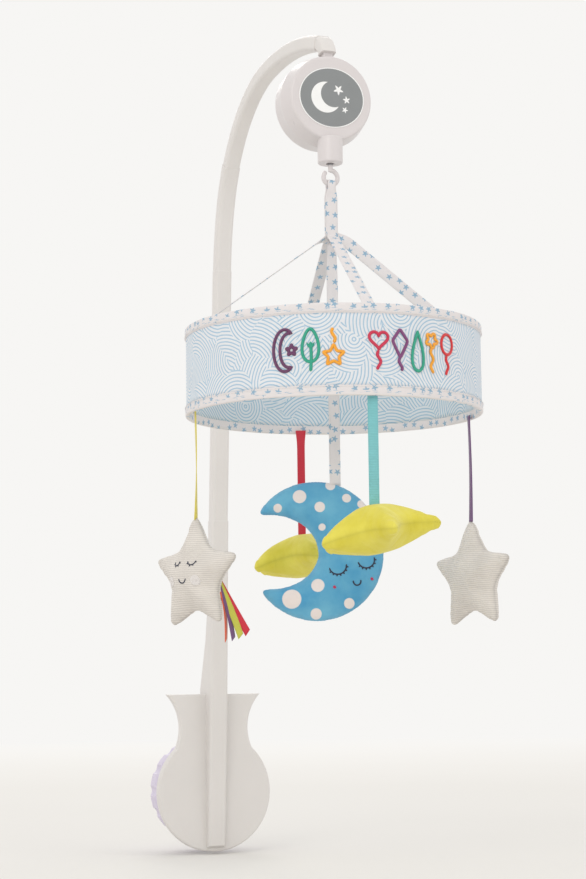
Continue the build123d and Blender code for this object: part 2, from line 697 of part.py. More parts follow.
def crown(plane, thickness, edge, reach):
    """Keep what lies between two spheres, so that the middle is thicker than the rim."""
    rise = (thickness - edge) / 2
    sphere_r = (reach**2 + rise**2) / (2 * rise)
    for side in (-1, 1):
        with Locations(plane.offset(side * (thickness / 2 - sphere_r))):
            Sphere(sphere_r, mode=Mode.INTERSECT)


def plush_star(name, plane, first):
    """A crowned star lying in a plane, with its first tip at an angle."""
    with BuildPart() as star:
        with BuildSketch(plane) as outline:
            Polygon(*star_points(STAR_R + 3, first), align=None)
            fillet(outline.vertices(), 5)
        extrude(amount=STAR_T, both=True)
        crown(plane, STAR_T, 9, STAR_R)
    finish(star, name)


GREY_Z = 185.5
LEFT_FACING, RIGHT_FACING = -153.9, 14.4
left_spot = on_ring(TOY_R, anchors["left"] + RING_TURN, GREY_Z)
right_spot = on_ring(TOY_R, anchors["right"] + RING_TURN, GREY_Z)
plush_star("star_left", facing(left_spot, LEFT_FACING), 90)
plush_star("star_right", facing(right_spot, RIGHT_FACING), 90)
star_top = GREY_Z + STAR_R - 0.5
hanging_ribbon("star_left_ribbon", left_spot, RIBBON_TOP_Z, star_top, 6.0, -8)
hanging_ribbon("star_right_ribbon", right_spot, RIBBON_TOP_Z, star_top, 6.0, -10)

TASSEL_COUNT, TASSEL_W, TASSEL_L = 4, 5.5, 50.0
notch = facing(left_spot, LEFT_FACING).from_local_coords((30.5, -9.0, -8.5))
with BuildPart() as star_tassel:
    for strip in range(TASSEL_COUNT):
        swing = radians(8 + 7 * strip)
        drop = Vector(sin(swing) * 0.94, -sin(swing) * 0.34, -cos(swing))
        out = Vector(0.34, 0.94, 0) * (1.2 * strip - 1.8)
        with BuildSketch(Plane(origin=Vector(notch) + out, x_dir=(0.94, -0.34, 0), z_dir=drop)):
            Rectangle(TASSEL_W, 0.6)
        extrude(amount=TASSEL_L)
finish(star_tassel, "star_tassel")

YELLOW_Z = 213.0
YELLOW_TILT = 11.5
YELLOW_FIRST = -75.5  # angle of the tip that points to the front


def lying_plane(spot, tilt, azimuth=VIEW_TURN):
    """A plane nearly level, its x axis raised by some degrees towards an azimuth."""
    turn, lift = radians(azimuth), radians(tilt)
    x_dir = (cos(turn) * cos(lift), sin(turn) * cos(lift), sin(lift))
    normal = (-cos(turn) * sin(lift), -sin(turn) * sin(lift), cos(lift))
    return Plane(origin=spot, x_dir=x_dir, z_dir=normal)


front_spot = on_ring(TOY_R, anchors["front"] + RING_TURN, YELLOW_Z)
back_spot = on_ring(TOY_R, anchors["back"] + RING_TURN, YELLOW_Z - 5)
plush_star("yellow_star_front", lying_plane(front_spot, YELLOW_TILT), YELLOW_FIRST)
plush_star("yellow_star_back", lying_plane(back_spot, YELLOW_TILT), YELLOW_FIRST)
belly = STAR_T / 2 / cos(radians(YELLOW_TILT)) + 1.0
hanging_ribbon(
    "yellow_front_ribbon", front_spot, RIBBON_TOP_Z, YELLOW_Z + belly, 7.8, VIEW_TURN - 90
)
hanging_ribbon("yellow_back_ribbon", back_spot, RIBBON_TOP_Z, YELLOW_Z - 5 + belly, 6.6, VIEW_TURN - 90)

moon_plane = facing((0, SPIN_Y, MOON_Z), VIEW_TURN - 90)
with BuildPart() as moon:
    with BuildSketch(moon_plane) as crescent:
        with Locations((MOON_OFFSET, 0)):
            Circle(MOON_R)
        with Locations((MOON_OFFSET - MOON_BITE, 0)):
            Circle(MOON_BITE_R, mode=Mode.SUBTRACT)
        fillet(crescent.vertices(), 3)
    extrude(amount=MOON_T, both=True)
    crown(moon_plane, MOON_T, 9, MOON_R)
finish(moon, "moon")
moon_top = MOON_Z + sqrt(MOON_R**2 - (MOON_OFFSET + 4.5) ** 2) + 0.6
hanging_ribbon("moon_ribbon", (0, SPIN_Y), HUB_Z - 4, moon_top, 9.0, VIEW_TURN - 90)
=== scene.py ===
# %% [markdown]
# # A crib mobile: the looks, cell by cell
# The hard parts of the mobile, its clamp, post, arm, music box and hook, come from the CAD
# model, which is loaded first and never moved. Blender adds what a solid modeller can't say
# well: printed cotton round a hoop, tapes and ribbons, stuffed toys with seams and sewn faces,
# and a finish for every surface.

# %% Load the frame
from functools import partialmethod
from math import cos, pi, radians, sin

import bmesh
import bpy
import numpy as np
from mathutils import Matrix, Vector
from mathutils.bvhtree import BVHTree
from mathutils.geometry import delaunay_2d_cdt


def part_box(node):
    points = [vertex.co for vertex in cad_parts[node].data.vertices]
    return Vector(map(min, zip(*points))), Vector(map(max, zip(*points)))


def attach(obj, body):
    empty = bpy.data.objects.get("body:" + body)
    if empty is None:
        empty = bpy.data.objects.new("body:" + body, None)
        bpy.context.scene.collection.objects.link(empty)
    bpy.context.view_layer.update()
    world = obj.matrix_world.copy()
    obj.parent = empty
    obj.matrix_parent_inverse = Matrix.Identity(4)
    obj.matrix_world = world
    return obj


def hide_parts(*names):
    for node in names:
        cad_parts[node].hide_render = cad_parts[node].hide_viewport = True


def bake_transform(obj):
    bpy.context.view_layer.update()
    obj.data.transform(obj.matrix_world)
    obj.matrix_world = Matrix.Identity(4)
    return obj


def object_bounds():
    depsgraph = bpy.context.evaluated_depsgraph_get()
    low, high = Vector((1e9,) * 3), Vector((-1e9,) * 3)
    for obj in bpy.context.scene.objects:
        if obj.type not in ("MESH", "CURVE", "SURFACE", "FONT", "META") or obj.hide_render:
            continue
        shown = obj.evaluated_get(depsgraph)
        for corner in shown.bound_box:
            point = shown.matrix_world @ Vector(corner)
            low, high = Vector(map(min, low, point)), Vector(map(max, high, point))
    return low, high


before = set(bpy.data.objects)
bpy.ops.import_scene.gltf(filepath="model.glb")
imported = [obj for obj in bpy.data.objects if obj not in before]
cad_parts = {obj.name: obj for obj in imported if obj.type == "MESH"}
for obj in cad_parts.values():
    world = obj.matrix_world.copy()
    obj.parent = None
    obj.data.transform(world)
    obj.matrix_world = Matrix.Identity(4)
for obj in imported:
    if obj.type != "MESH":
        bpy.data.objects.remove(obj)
cad_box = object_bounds()
scene = bpy.context.scene
MM = 0.001
UP = np.array([0.0, 0.0, 1.0])
print("CAD box, m:", [round(v, 4) for corner in cad_box for v in corner])

# %% [markdown]
# ## Places
# Every place comes from the CAD model's boxes, so nothing has to be fitted by eye. The canopy
# turns about an upright axis through the middle of its ring. A grey star hangs half its height
# below its ribbon's foot, and a yellow one lies level, just under its ribbon.

# %% Places read from the frame


def corners(node):
    """The lowest and highest corner of a CAD node, as arrays."""
    low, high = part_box(node)
    return np.array(low), np.array(high)


def middle(node):
    """The middle of a CAD node's box."""
    low, high = corners(node)
    return (low + high) / 2


band_low, band_high = corners("canopy_band")
lining_low, lining_high = corners("canopy_lining")
AXIS = middle("canopy_band") * [1, 1, 0]
BAND_R = (band_high[0] - band_low[0]) / 2
BAND_BOTTOM, BAND_TOP = band_low[2], band_high[2]
LINING_R = (lining_high[0] - lining_low[0]) / 2 - 0.6 * MM
RING_TURN = -7.0  # how far the canopy is turned, degrees
FRONT = -110.6  # the canopy's side that looks at the viewer, degrees


def pointing(angle):
    """Level unit vectors that point along angles in radians."""
    return np.stack([np.cos(angle), np.sin(angle), np.zeros_like(angle)], -1)


def heading(azimuth):
    """The level unit vector that points to an azimuth in degrees."""
    return pointing(radians(azimuth))


def upright_plane(azimuth):
    """Across, up and outwards of a toy that stands upright and faces an azimuth."""
    return heading(azimuth + 90), UP, heading(azimuth)


def lying_plane(azimuth, lift):
    """Across, along and upwards of a toy that lies nearly level, raised towards an azimuth."""
    ahead, rise = heading(azimuth), radians(lift)
    across, out = ahead * cos(rise) + UP * sin(rise), UP * cos(rise) - ahead * sin(rise)
    return across, np.cross(out, across), out


def under_ribbon(ribbon, drop):
    """The point that lies a drop below the foot of a hanging ribbon."""
    place = middle(ribbon)
    place[2] = corners(ribbon)[0][2] - drop
    return place


print("canopy axis", AXIS.round(4), "band radius", round(BAND_R, 4))

# %% [markdown]
# ## Surfaces from arrays
# Nearly every new piece is a section carried along a path: a tape, a cord, a line of thread, a
# hem. One function makes them all. It takes grids of points whose columns close on themselves,
# closes the ends, and keeps flat "cut" coordinates in metres, as a pattern maker would, so that
# prints and weaves follow the cloth.

# %% Helpers that make meshes


def unit(vectors):
    """Vectors scaled to length one."""
    return vectors / np.linalg.norm(vectors, axis=-1, keepdims=True)


def along(path):
    """The distance of each point of a path from its start."""
    return np.concatenate([[0.0], np.cumsum(np.linalg.norm(np.diff(path, axis=0), axis=1))])


def on_oval(angle, wide, high, x=0.0, y=0.0):
    """Flat points at angles of an oval, given its half width, half height and middle."""
    return np.stack([x + wide * np.cos(angle), y + high * np.sin(angle)], 1)


def evened(line, rounds):
    """A closed line made smoother: each point becomes the mean of its neighbours and itself."""
    for _ in range(rounds):
        line = (np.roll(line, 1, 0) + line + np.roll(line, -1, 0)) / 3
    return line


def points_of(mesh):
    """The places of a mesh's points, as an array."""
    flat = np.empty(len(mesh.vertices) * 3)
    mesh.vertices.foreach_get("co", flat)
    return flat.reshape(-1, 3)


def carried(name, parts, finish):
    """One object from grids (points, cut, ring). Faces join neighbours in rows and columns, the
    columns close on themselves, and the rows close too on a ring or else get an end face."""
    points, faces, cuts, first = [], [], [], 0
    for grid, cut, ring in parts:
        rows, cols = grid.shape[:2]
        r, c = np.meshgrid(np.arange(rows - 1 + ring), np.arange(cols), indexing="ij")
        r1, c1 = (r + 1) % rows, (c + 1) % cols
        quads = np.stack([r * cols + c, r1 * cols + c, r1 * cols + c1, r * cols + c1], -1)
        faces += (quads.reshape(-1, 4) + first).tolist()
        corner_cuts = [cut[r, c], cut[r + 1, c], cut[r + 1, c + 1], cut[r, c + 1]]
        cuts.append(np.stack(corner_cuts, -2).reshape(-1, 2))
        for row in () if ring else (0, rows - 1):
            faces.append((first + row * cols + np.arange(cols)).tolist())
            cuts.append(cut[row, :cols])
        points.append(grid.reshape(-1, 3))
        first += rows * cols
    mesh = bpy.data.meshes.new(name)
    mesh.from_pydata(np.concatenate(points).tolist(), [], faces)
    layer = mesh.uv_layers.new(name="cut")
    layer.data.foreach_set("uv", np.concatenate(cuts).astype(np.float32).ravel())
    return finished(name, mesh, finish)


def finished(name, mesh, finish):
    """The mesh cleaned, turned outwards, smoothed and put into the scene as an object."""
    bm = bmesh.new()
    bm.from_mesh(mesh)
    bmesh.ops.remove_doubles(bm, verts=bm.verts, dist=1e-7)
    bmesh.ops.recalc_face_normals(bm, faces=bm.faces)
    bm.to_mesh(mesh)
    bm.free()
    mesh.shade_smooth()
    mesh.materials.append(finish)
    thing = bpy.data.objects.new(name, mesh)
    scene.collection.objects.link(thing)
    print(f"{name}: {len(mesh.polygons)} faces")
    return thing


def belongs(thing, body, slot, *stands_for):
    """Let a piece ride on a body and stand for CAD nodes, which are hidden. The slot is not used."""
    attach(thing, body)
    if stands_for:
        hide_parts(*stands_for)
    return thing


def tape_grid(path, side, width, thick):
    """A tape: a flat section of twelve points, x across and z through, at C + x S + z N, where S
    is the given side made square to the path and N is the path's direction crossed with S."""
    path = np.asarray(path, float)
    forward = unit(np.gradient(path, axis=0))
    side = np.broadcast_to(side, path.shape)
    side = unit(side - (side * forward).sum(1, keepdims=True) * forward)
    normal = np.cross(forward, side)
    x = np.array([1, 0.94, 0.5, 0, -0.5, -0.94, -1, -0.94, -0.5, 0, 0.5, 0.94]) / 2
    z = np.array([0, 1, 1, 1, 1, 1, 0, -1, -1, -1, -1, -1]) / 2
    width = np.broadcast_to(width, len(path))[:, None, None]
    across = side[:, None] * x[None, :, None] * width
    grid = path[:, None] + across + normal[:, None] * z[None, :, None] * thick
    widths = np.append(x, x[0])[None] * width[..., 0]
    cut = np.stack(np.broadcast_arrays(widths, along(path)[:, None]), -1)
    return grid, cut, False


def thread_grid(path, normals, width, height, closed=False):
    """A raised line of thread: half an ellipse above the cloth and a shallow one below it, at
    C + cos t (width/2) S + sin t height N. Its open ends narrow to a round."""
    path = np.asarray(path, float)
    if closed:
        forward = unit(np.roll(path, -1, 0) - np.roll(path, 1, 0))
    else:
        forward = unit(np.gradient(path, axis=0))
    side = unit(np.cross(forward, normals))
    s = along(path)
    near_end = np.clip(np.minimum(s, s[-1] - s) / (width / 2), 0, 1)
    taper = np.ones(len(path)) if closed else np.sqrt(1 - (1 - near_end) ** 2) + 1e-4
    t = np.linspace(0, 2 * pi, 10, endpoint=False)
    across = np.cos(t) * width / 2
    lift = np.where(np.sin(t) > 0, np.sin(t), 0.4 * np.sin(t)) * height
    section = side[:, None] * across[None, :, None] + normals[:, None] * lift[None, :, None]
    grid = path[:, None] + section * taper[:, None, None]
    s_rows = np.append(s, s[-1] + np.linalg.norm(path[0] - path[-1])) if closed else s
    turn = np.linspace(0, 1, 11)
    cut = np.stack(np.broadcast_arrays(turn[None], s_rows[:, None]), -1)
    return grid, cut, closed


def ring_grid(radius, height, cut_across):
    """A section (radius, height) at each angle, carried round the canopy's axis. Both arrays are
    angles by section points, and the flat cut is laid out along the ring."""
    rows = radius.shape[0]
    angle = np.linspace(0, 2 * pi, rows, endpoint=False)[:, None]
    grid = np.stack([radius * np.cos(angle), radius * np.sin(angle), height], -1) + AXIS
    run = np.linspace(0, 2 * pi * BAND_R, rows + 1)[:, None]
    cut = np.stack(np.broadcast_arrays(run, np.append(cut_across, cut_across[0] + 1e-4)[None]), -1)
    return grid, cut, True


def waves(angle, seed, low, high):
    """A smooth uneven line round a ring: cosines of whole numbers of waves, with seeded phases,
    added up and scaled to about one."""
    rng = np.random.default_rng(seed)
    count = np.arange(low, high)
    phase, size = rng.uniform(0, 2 * pi, len(count)), rng.uniform(0.3, 1, len(count))
    line = (size * np.cos(angle[:, None] * count + phase)).sum(1)
    return line / np.abs(line).max()


print("mesh helpers ready")

# %% [markdown]
# ## Material helpers
# A material is a small graph. A class that adds nodes and joins them lets a pattern read like a
# sum. Effects that several materials share, such as tone, grain, painted edge highlights and
# weave, are node groups with named inputs, built once and given other values in each material.

# %% Helpers that make materials


class Graph:
    """Adds nodes to a tree and joins them."""

    def __init__(self, tree):
        self.tree = tree

    def node(self, kind, inputs=(), **settings):
        """A node with its settings, its inputs set to a number or joined to another output."""
        made = self.tree.nodes.new(kind)
        for key, value in settings.items():
            setattr(made, key, value)
        for key, value in dict(inputs).items():
            self.join(value, made.inputs[key])
        return made

    def join(self, value, socket):
        """Feed a socket from another node's output, or set it to a plain value."""
        if isinstance(value, bpy.types.NodeSocket):
            self.tree.links.new(value, socket)
        else:
            socket.default_value = value

    def math(self, operation, *values, clamp=False):
        """One arithmetic step."""
        settings = {"operation": operation, "use_clamp": clamp}
        return self.node("ShaderNodeMath", enumerate(values), **settings).outputs[0]

    plus, minus = partialmethod(math, "ADD"), partialmethod(math, "SUBTRACT")
    times, over = partialmethod(math, "MULTIPLY"), partialmethod(math, "DIVIDE")

    def ripple(self, distance, pitch):
        """A sine that repeats at a pitch."""
        return self.math("SINE", self.times(distance, 2 * pi / pitch))

    def vector(self, operation, *values):
        """One vector step; a dot product or a length gives a number."""
        made = self.node("ShaderNodeVectorMath", enumerate(values), operation=operation)
        return made.outputs["Value" if operation in ("DOT_PRODUCT", "LENGTH") else "Vector"]

    def scaled(self, vector, factor):
        """A vector or colour times a number."""
        start = vector[:3] if isinstance(vector, tuple) else vector
        return self.node("ShaderNodeVectorMath", {0: start, 3: factor}, operation="SCALE").outputs[0]

    def mix(self, factor, a, b):
        """A colour between a and b."""
        return self.node("ShaderNodeMix", {0: factor, 6: a, 7: b}, data_type="RGBA").outputs[2]

    def noise(self, vector, scale, detail=2.0):
        """Smooth noise from 0 to 1."""
        inputs = {"Vector": vector, "Scale": scale, "Detail": detail}
        return self.node("ShaderNodeTexNoise", inputs).outputs[0]

    def axes(self, vector):
        """The x, y and z of a vector."""
        return self.node("ShaderNodeSeparateXYZ", {0: vector}).outputs

    def use(self, group, **inputs):
        """The result of a node group that is given its inputs."""
        return self.node("ShaderNodeGroup", inputs, node_tree=group).outputs[0]


def new_group(name, result, **numbers):
    """An empty node group that turns a vector and some numbers into one result: its tree, its
    graph, its inputs and the socket of its result."""
    tree = bpy.data.node_groups.new(name, "ShaderNodeTree")
    tree.interface.new_socket("Vector", in_out="INPUT", socket_type="NodeSocketVector")
    for label, value in numbers.items():
        socket = tree.interface.new_socket(label, in_out="INPUT", socket_type="NodeSocketFloat")
        socket.default_value = value
    tree.interface.new_socket(result, in_out="OUTPUT", socket_type="NodeSocketFloat")
    graph = Graph(tree)
    given = graph.node("NodeGroupInput").outputs
    return tree, graph, given, graph.node("NodeGroupOutput").inputs[result]


def rgb(red, green, blue):
    """A colour picked on screen, 0 to 255, as the linear colour that a shader wants."""
    value = np.array([red, green, blue]) / 255
    linear = np.where(value <= 0.04045, value / 12.92, ((value + 0.055) / 1.055) ** 2.4)
    return (*linear.tolist(), 1.0)


def new_material(name, **settings):
    """A material, its graph and its Principled shader with plain settings on its own sockets."""
    material = bpy.data.materials.new(name)
    material.use_nodes = True
    shader = material.node_tree.nodes["Principled BSDF"]
    for key, value in settings.items():
        shader.inputs[key.replace("_", " ")].default_value = value
    return material, Graph(material.node_tree), shader


def connect(graph, shader, colour, roughness, height, depth):
    """Join a colour, a roughness and a bump of some depth in metres to the shader."""
    bump = graph.node("ShaderNodeBump", {"Height": height, "Strength": 1.0, "Distance": depth})
    wanted = {"Base Color": colour, "Roughness": roughness, "Normal": bump.outputs[0]}
    for key, value in wanted.items():
        graph.join(value, shader.inputs[key])


def cut_of(graph):
    """The flat cut coordinates of a cloth, in metres."""
    return graph.node("ShaderNodeUVMap", uv_map="cut").outputs[0]


def place_of(graph):
    """Where a point is on the object, in metres."""
    return graph.node("ShaderNodeTexCoord").outputs["Object"]


print("material helpers ready")

# %% [markdown]
# ### Shared effects
# *Tone* makes a colour a little lighter and darker in soft patches. *Grain* is the fine skin of
# moulded plastic. *Painted edge highlight* compares the true normal with a rounded one, which
# differ only near an edge, and gives the mask by which edges are painted lighter. *Weave* raises
# threads that pass over and under each other.

# %% Node groups for tone, grain, painted edge highlights and weave
tone, g, given, result = new_group("tone", "Value", Size=0.02, Strength=0.1)
patch = g.minus(g.noise(given["Vector"], g.over(1.0, given["Size"]), 3.0), 0.5)
g.join(g.plus(1.0, g.times(g.times(patch, 2.0), given["Strength"])), result)

grain, g, given, result = new_group("grain", "Height", Size=0.001)
g.join(g.noise(given["Vector"], g.over(1.0, given["Size"]), 4.0), result)

# Painted highlight: a mask near edges, made uneven by noise, which the plastics use to paint their edges
# lighter.
painted_edge_highlight, g, given, result = new_group("painted edge highlight", "Mask", Radius=0.001)
rounded = g.node("ShaderNodeBevel", {"Radius": given["Radius"]}, samples=4).outputs[0]
true_normal = g.node("ShaderNodeNewGeometry").outputs["Normal"]
differ = g.minus(1.0, g.vector("DOT_PRODUCT", rounded, true_normal))
edge_lightening = g.times(g.times(differ, 5.0), g.plus(0.3, g.noise(given["Vector"], 90.0)))
g.join(g.math("MINIMUM", edge_lightening, 1.0), result)

weave, g, given, result = new_group("weave", "Height", Pitch=0.0005)
flat = g.axes(g.scaled(given["Vector"], g.over(pi, given["Pitch"])))
warp, weft = g.math("SINE", flat[0]), g.math("SINE", flat[1])
over = g.math("GREATER_THAN", g.times(warp, weft), 0.0)
raised = g.times(over, g.math("ABSOLUTE", warp))
other = g.times(g.minus(1.0, over), g.math("ABSOLUTE", weft))
g.join(g.plus(raised, other), result)
print("groups:", [tree.name for tree in bpy.data.node_groups])

# %% [markdown]
# ### Hard finishes
# The plastics are satin mouldings: nearly white, a little warmer or pinker from part to part,
# with a fine skin, edges painted lighter as a highlight and made a little smoother, and a shine
# that varies. The metals are plain steel and brass with faint brush marks along one direction.

# %% Plastics, rubber and metals


def plastic(name, colour, roughness, coarse=0.7 * MM, depth=0.02 * MM, highlight_strength=0.25):
    """Moulded plastic: tone in the colour, edges painted lighter as a highlight and made smoother, fine
    skin as bump.
    """
    material, g, shader = new_material(name, IOR=1.46)
    place = place_of(g)
    patches = g.use(tone, Vector=place, Size=0.05, Strength=0.035)
    # Painted highlight: near edges the colour is mixed towards near-white, and the roughness is lowered
    # there too.
    edge = g.times(g.use(painted_edge_highlight, Vector=place, Radius=1.2 * MM), highlight_strength)
    body = g.mix(edge, g.scaled(colour, patches), (0.94, 0.94, 0.93, 1))
    shine = g.times(g.use(tone, Vector=place, Size=0.012, Strength=0.18), roughness)
    skin = g.use(grain, Vector=place, Size=coarse)
    connect(g, shader, body, g.minus(shine, g.times(edge, 0.1)), skin, depth)
    return material


def metal(name, colour, roughness, stretch):
    """Machined metal: noise drawn out along one axis makes brush marks in shine and bump."""
    material, g, shader = new_material(name, Metallic=1.0)
    place = place_of(g)
    marks = g.noise(g.vector("MULTIPLY", place, stretch), 1.0, 3.0)
    patches = g.use(tone, Vector=place, Size=0.004, Strength=0.12)
    shine = g.plus(roughness, g.times(marks, 0.2))
    connect(g, shader, g.scaled(colour, patches), shine, marks, 0.01 * MM)
    return material


finishes = {
    "white_plastic": plastic("white_plastic", rgb(222, 218, 215), 0.42),
    "box_plastic": plastic("box_plastic", rgb(216, 210, 210), 0.3, highlight_strength=0.4),
    "pad_rubber": plastic("pad_rubber", rgb(196, 192, 204), 0.75, 0.4 * MM, 0.06 * MM, 0.1),
    # Painted shade: the knob's lavender tint stands for the bluish shade on it; its lit part is
    # off-white like the plate.
    "knob_plastic": plastic("knob_plastic", rgb(216, 208, 226), 0.5),
    "hoop_plastic": plastic("hoop_plastic", rgb(240, 240, 240), 0.45),
    "steel": metal("steel", rgb(178, 178, 180), 0.25, (900, 900, 60)),
    "brass": metal("brass", rgb(205, 170, 105), 0.28, (60, 900, 900)),
}
print("hard finishes:", sorted(finishes))

# %% [markdown]
# ### Prints
# Two prints dress the canopy. One is small blue stars scattered on off-white tape: a Voronoi
# texture gives each star its place and turn, and the distance from it is compared with a limit
# that is long towards five tips. The other is bundles of hand-drawn arcs: discs of rings lie
# over each other like scales, and lines are drawn at equal steps of the distance from each
# disc's middle.

# %% Star and arc prints


def star_mask(g, local, turn, size, soft=0.25 * MM):
    """Where a five-pointed star is: one inside. Its limit is size (0.4 + 0.6 f^1.6), f being
    the angle folded into a tenth of a turn, from 0 at a notch to 1 at a tip."""
    parts = g.axes(local)
    angle = g.plus(g.math("ARCTAN2", parts[1], parts[0]), turn)
    folded = g.math("ABSOLUTE", g.minus(g.math("WRAP", angle, 2 * pi / 5, 0.0), pi / 5))
    tip = g.math("POWER", g.over(folded, pi / 5), 1.6)
    limit = g.times(g.plus(g.times(tip, 0.6), 0.4), size)
    away = g.minus(limit, g.vector("LENGTH", local))
    return g.plus(g.over(away, soft), 0.5, clamp=True)


def cells(g, vector, spacing, randomness):
    """A flat Voronoi texture: the middle of each cell and a random colour for it."""
    inputs = {"Vector": vector, "Scale": 1 / spacing, "Randomness": randomness}
    made = g.node("ShaderNodeTexVoronoi", inputs, voronoi_dimensions="2D")
    return made.outputs["Position"], made.outputs["Color"]


scattered_stars, g, given, result = new_group("scattered stars", "Mask", Size=2.9 * MM)
spot, chance = cells(g, given["Vector"], 9.4 * MM, 0.6)
local = g.vector("MULTIPLY", g.vector("SUBTRACT", given["Vector"], spot), (1.0, 1.0, 0.0))
turn = g.times(g.axes(chance)[0], 2 * pi)
g.join(star_mask(g, local, turn, given["Size"], 0.4 * MM), result)

LINE_PITCH = 2.7 * MM
drawn_arcs, g, given, result = new_group("drawn arcs", "Mask")
shaken = g.node("ShaderNodeTexNoise", {"Vector": given["Vector"], "Scale": 120.0}).outputs["Color"]
shaken = g.scaled(g.vector("SUBTRACT", shaken, (0.5, 0.5, 0.5)), 1.0 * MM)
shaken = g.vector("ADD", given["Vector"], shaken)
shaken = g.vector("MULTIPLY", shaken, (1.0, 1.0, 0.0))


def flat_gap(a, b):
    """The distance between two places in the plane of the cloth."""
    apart = g.vector("SUBTRACT", a, b)
    return g.vector("LENGTH", g.vector("MULTIPLY", apart, (1.0, 1.0, 0.0)))


def bundles(shift, spacing, pull):
    """One layer of scattered bundles: the distance from the nearest bundle's own middle, and from
    the middle of its arcs, which is pulled aside by chance."""
    moved = g.vector("ADD", shaken, shift)
    spot, chance = cells(g, moved, spacing, 1.0)
    aside = g.vector("ADD", spot, g.scaled(g.vector("SUBTRACT", chance, (0.5, 0.5, 0.5)), pull))
    return flat_gap(moved, spot), flat_gap(moved, aside)


def lies_over(top, reach, under):
    """A layer whose bundles, round and of some reach, lie over another layer."""
    inside = g.math("LESS_THAN", top[0], reach)
    return g.plus(g.times(inside, top[1]), g.times(g.minus(1.0, inside), under))


base = bundles((0.0, 0.0, 0.0), 30 * MM, 74 * MM)[1]
second = lies_over(bundles((13 * MM, 7 * MM, 0.0), 36 * MM, 58 * MM), 16 * MM, base)
layered = lies_over(bundles((5 * MM, 21 * MM, 0.0), 42 * MM, 46 * MM), 15 * MM, second)
step = g.minus(g.math("FRACT", g.over(layered, LINE_PITCH)), 0.5)
line = g.minus(0.17, g.math("ABSOLUTE", step))
g.join(g.plus(g.times(line, 9.0), 0.5, clamp=True), result)


def printed_cotton(name, ground, ink, pattern):
    """Woven cotton with a print: ink fades a little with the weave, and threads give the bump."""
    material, g, shader = new_material(name, Sheen_Weight=0.15, Sheen_Roughness=0.5)
    cut = cut_of(g)
    threads = g.use(weave, Vector=cut, Pitch=0.45 * MM)
    faded = g.plus(0.82, g.times(threads, 0.18))
    mask = g.times(g.use(pattern, Vector=cut), faded)
    patches = g.use(tone, Vector=cut, Size=0.03, Strength=0.03)
    # Painted shade: the cloth is a little darker where the weave's threads dip, on top of its random
    # tone.
    shade = g.times(patches, g.plus(0.93, g.times(threads, 0.07)))
    rough = g.minus(0.9, g.times(threads, 0.12))
    connect(g, shader, g.scaled(g.mix(mask, ground, ink), shade), rough, threads, 0.05 * MM)
    return material


band_print = printed_cotton("band_print", rgb(232, 234, 238), rgb(158, 194, 218), drawn_arcs)
lining_print = printed_cotton("lining_print", rgb(224, 230, 235), rgb(148, 190, 214), drawn_arcs)
star_tape = printed_cotton("star_tape", rgb(232, 227, 227), rgb(140, 178, 204), scattered_stars)
print("prints:", band_print.name, lining_print.name, star_tape.name)

# %% [markdown]
# ### Ribbons, threads and plush
# A satin ribbon is smooth with fine lengthwise threads, and a grosgrain has cross ribs. Thread is
# laid in slanted stitches. Plush is short pile: sheen, a soft uneven tone where it is brushed,
# and a darker line along the seam. The dots of the moon are kept crisp by a distance that is
# stored on the mesh and compared with zero.

# %% Ribbon, thread and plush finishes


def ribbon_finish(name, colour, roughness, rib, depth):
    """Ribbon: fine threads along it and ribs across it, with a painted highlight that makes the rib tops
    lighter.
    """
    material, g, shader = new_material(name, Sheen_Weight=0.2, Sheen_Roughness=0.4)
    flat = g.axes(cut_of(g))
    ribs = g.ripple(flat[1], rib)
    threads = g.ripple(flat[0], 0.4 * MM)
    height = g.plus(ribs, g.times(threads, 0.3))
    patches = g.use(tone, Vector=cut_of(g), Size=0.012, Strength=0.1)
    # Painted highlight and shade: the colour is lighter on the rib tops and darker between them, on top
    # of random tone.
    shade = g.times(patches, g.plus(0.96, g.times(ribs, 0.05)))
    rough = g.plus(roughness, g.times(ribs, 0.04))
    connect(g, shader, g.scaled(colour, shade), rough, height, depth)
    return material


def thread_finish(name, colour):
    """Satin stitch: slanted stitches side by side, with painted shade between stitches, a painted
    highlight on the top of each bead and painted shade on its underside.
    """
    material, g, shader = new_material(name, Sheen_Weight=0.3, Sheen_Roughness=0.35)
    flat = g.axes(cut_of(g))
    slanted = g.plus(flat[1], g.times(flat[0], 2 * MM))
    stitch = g.ripple(slanted, 0.55 * MM)
    # Painted highlight on the top of each bead and painted shade under it; the stitch term paints shade
    # between stitches.
    painted_bead_light = g.ripple(flat[0], 1.0)
    shade = g.plus(g.times(stitch, 0.1), g.plus(0.95, g.times(painted_bead_light, 0.22)))
    rough = g.plus(0.45, g.times(stitch, 0.08))
    connect(g, shader, g.scaled(colour, shade), rough, stitch, 0.07 * MM)
    return material


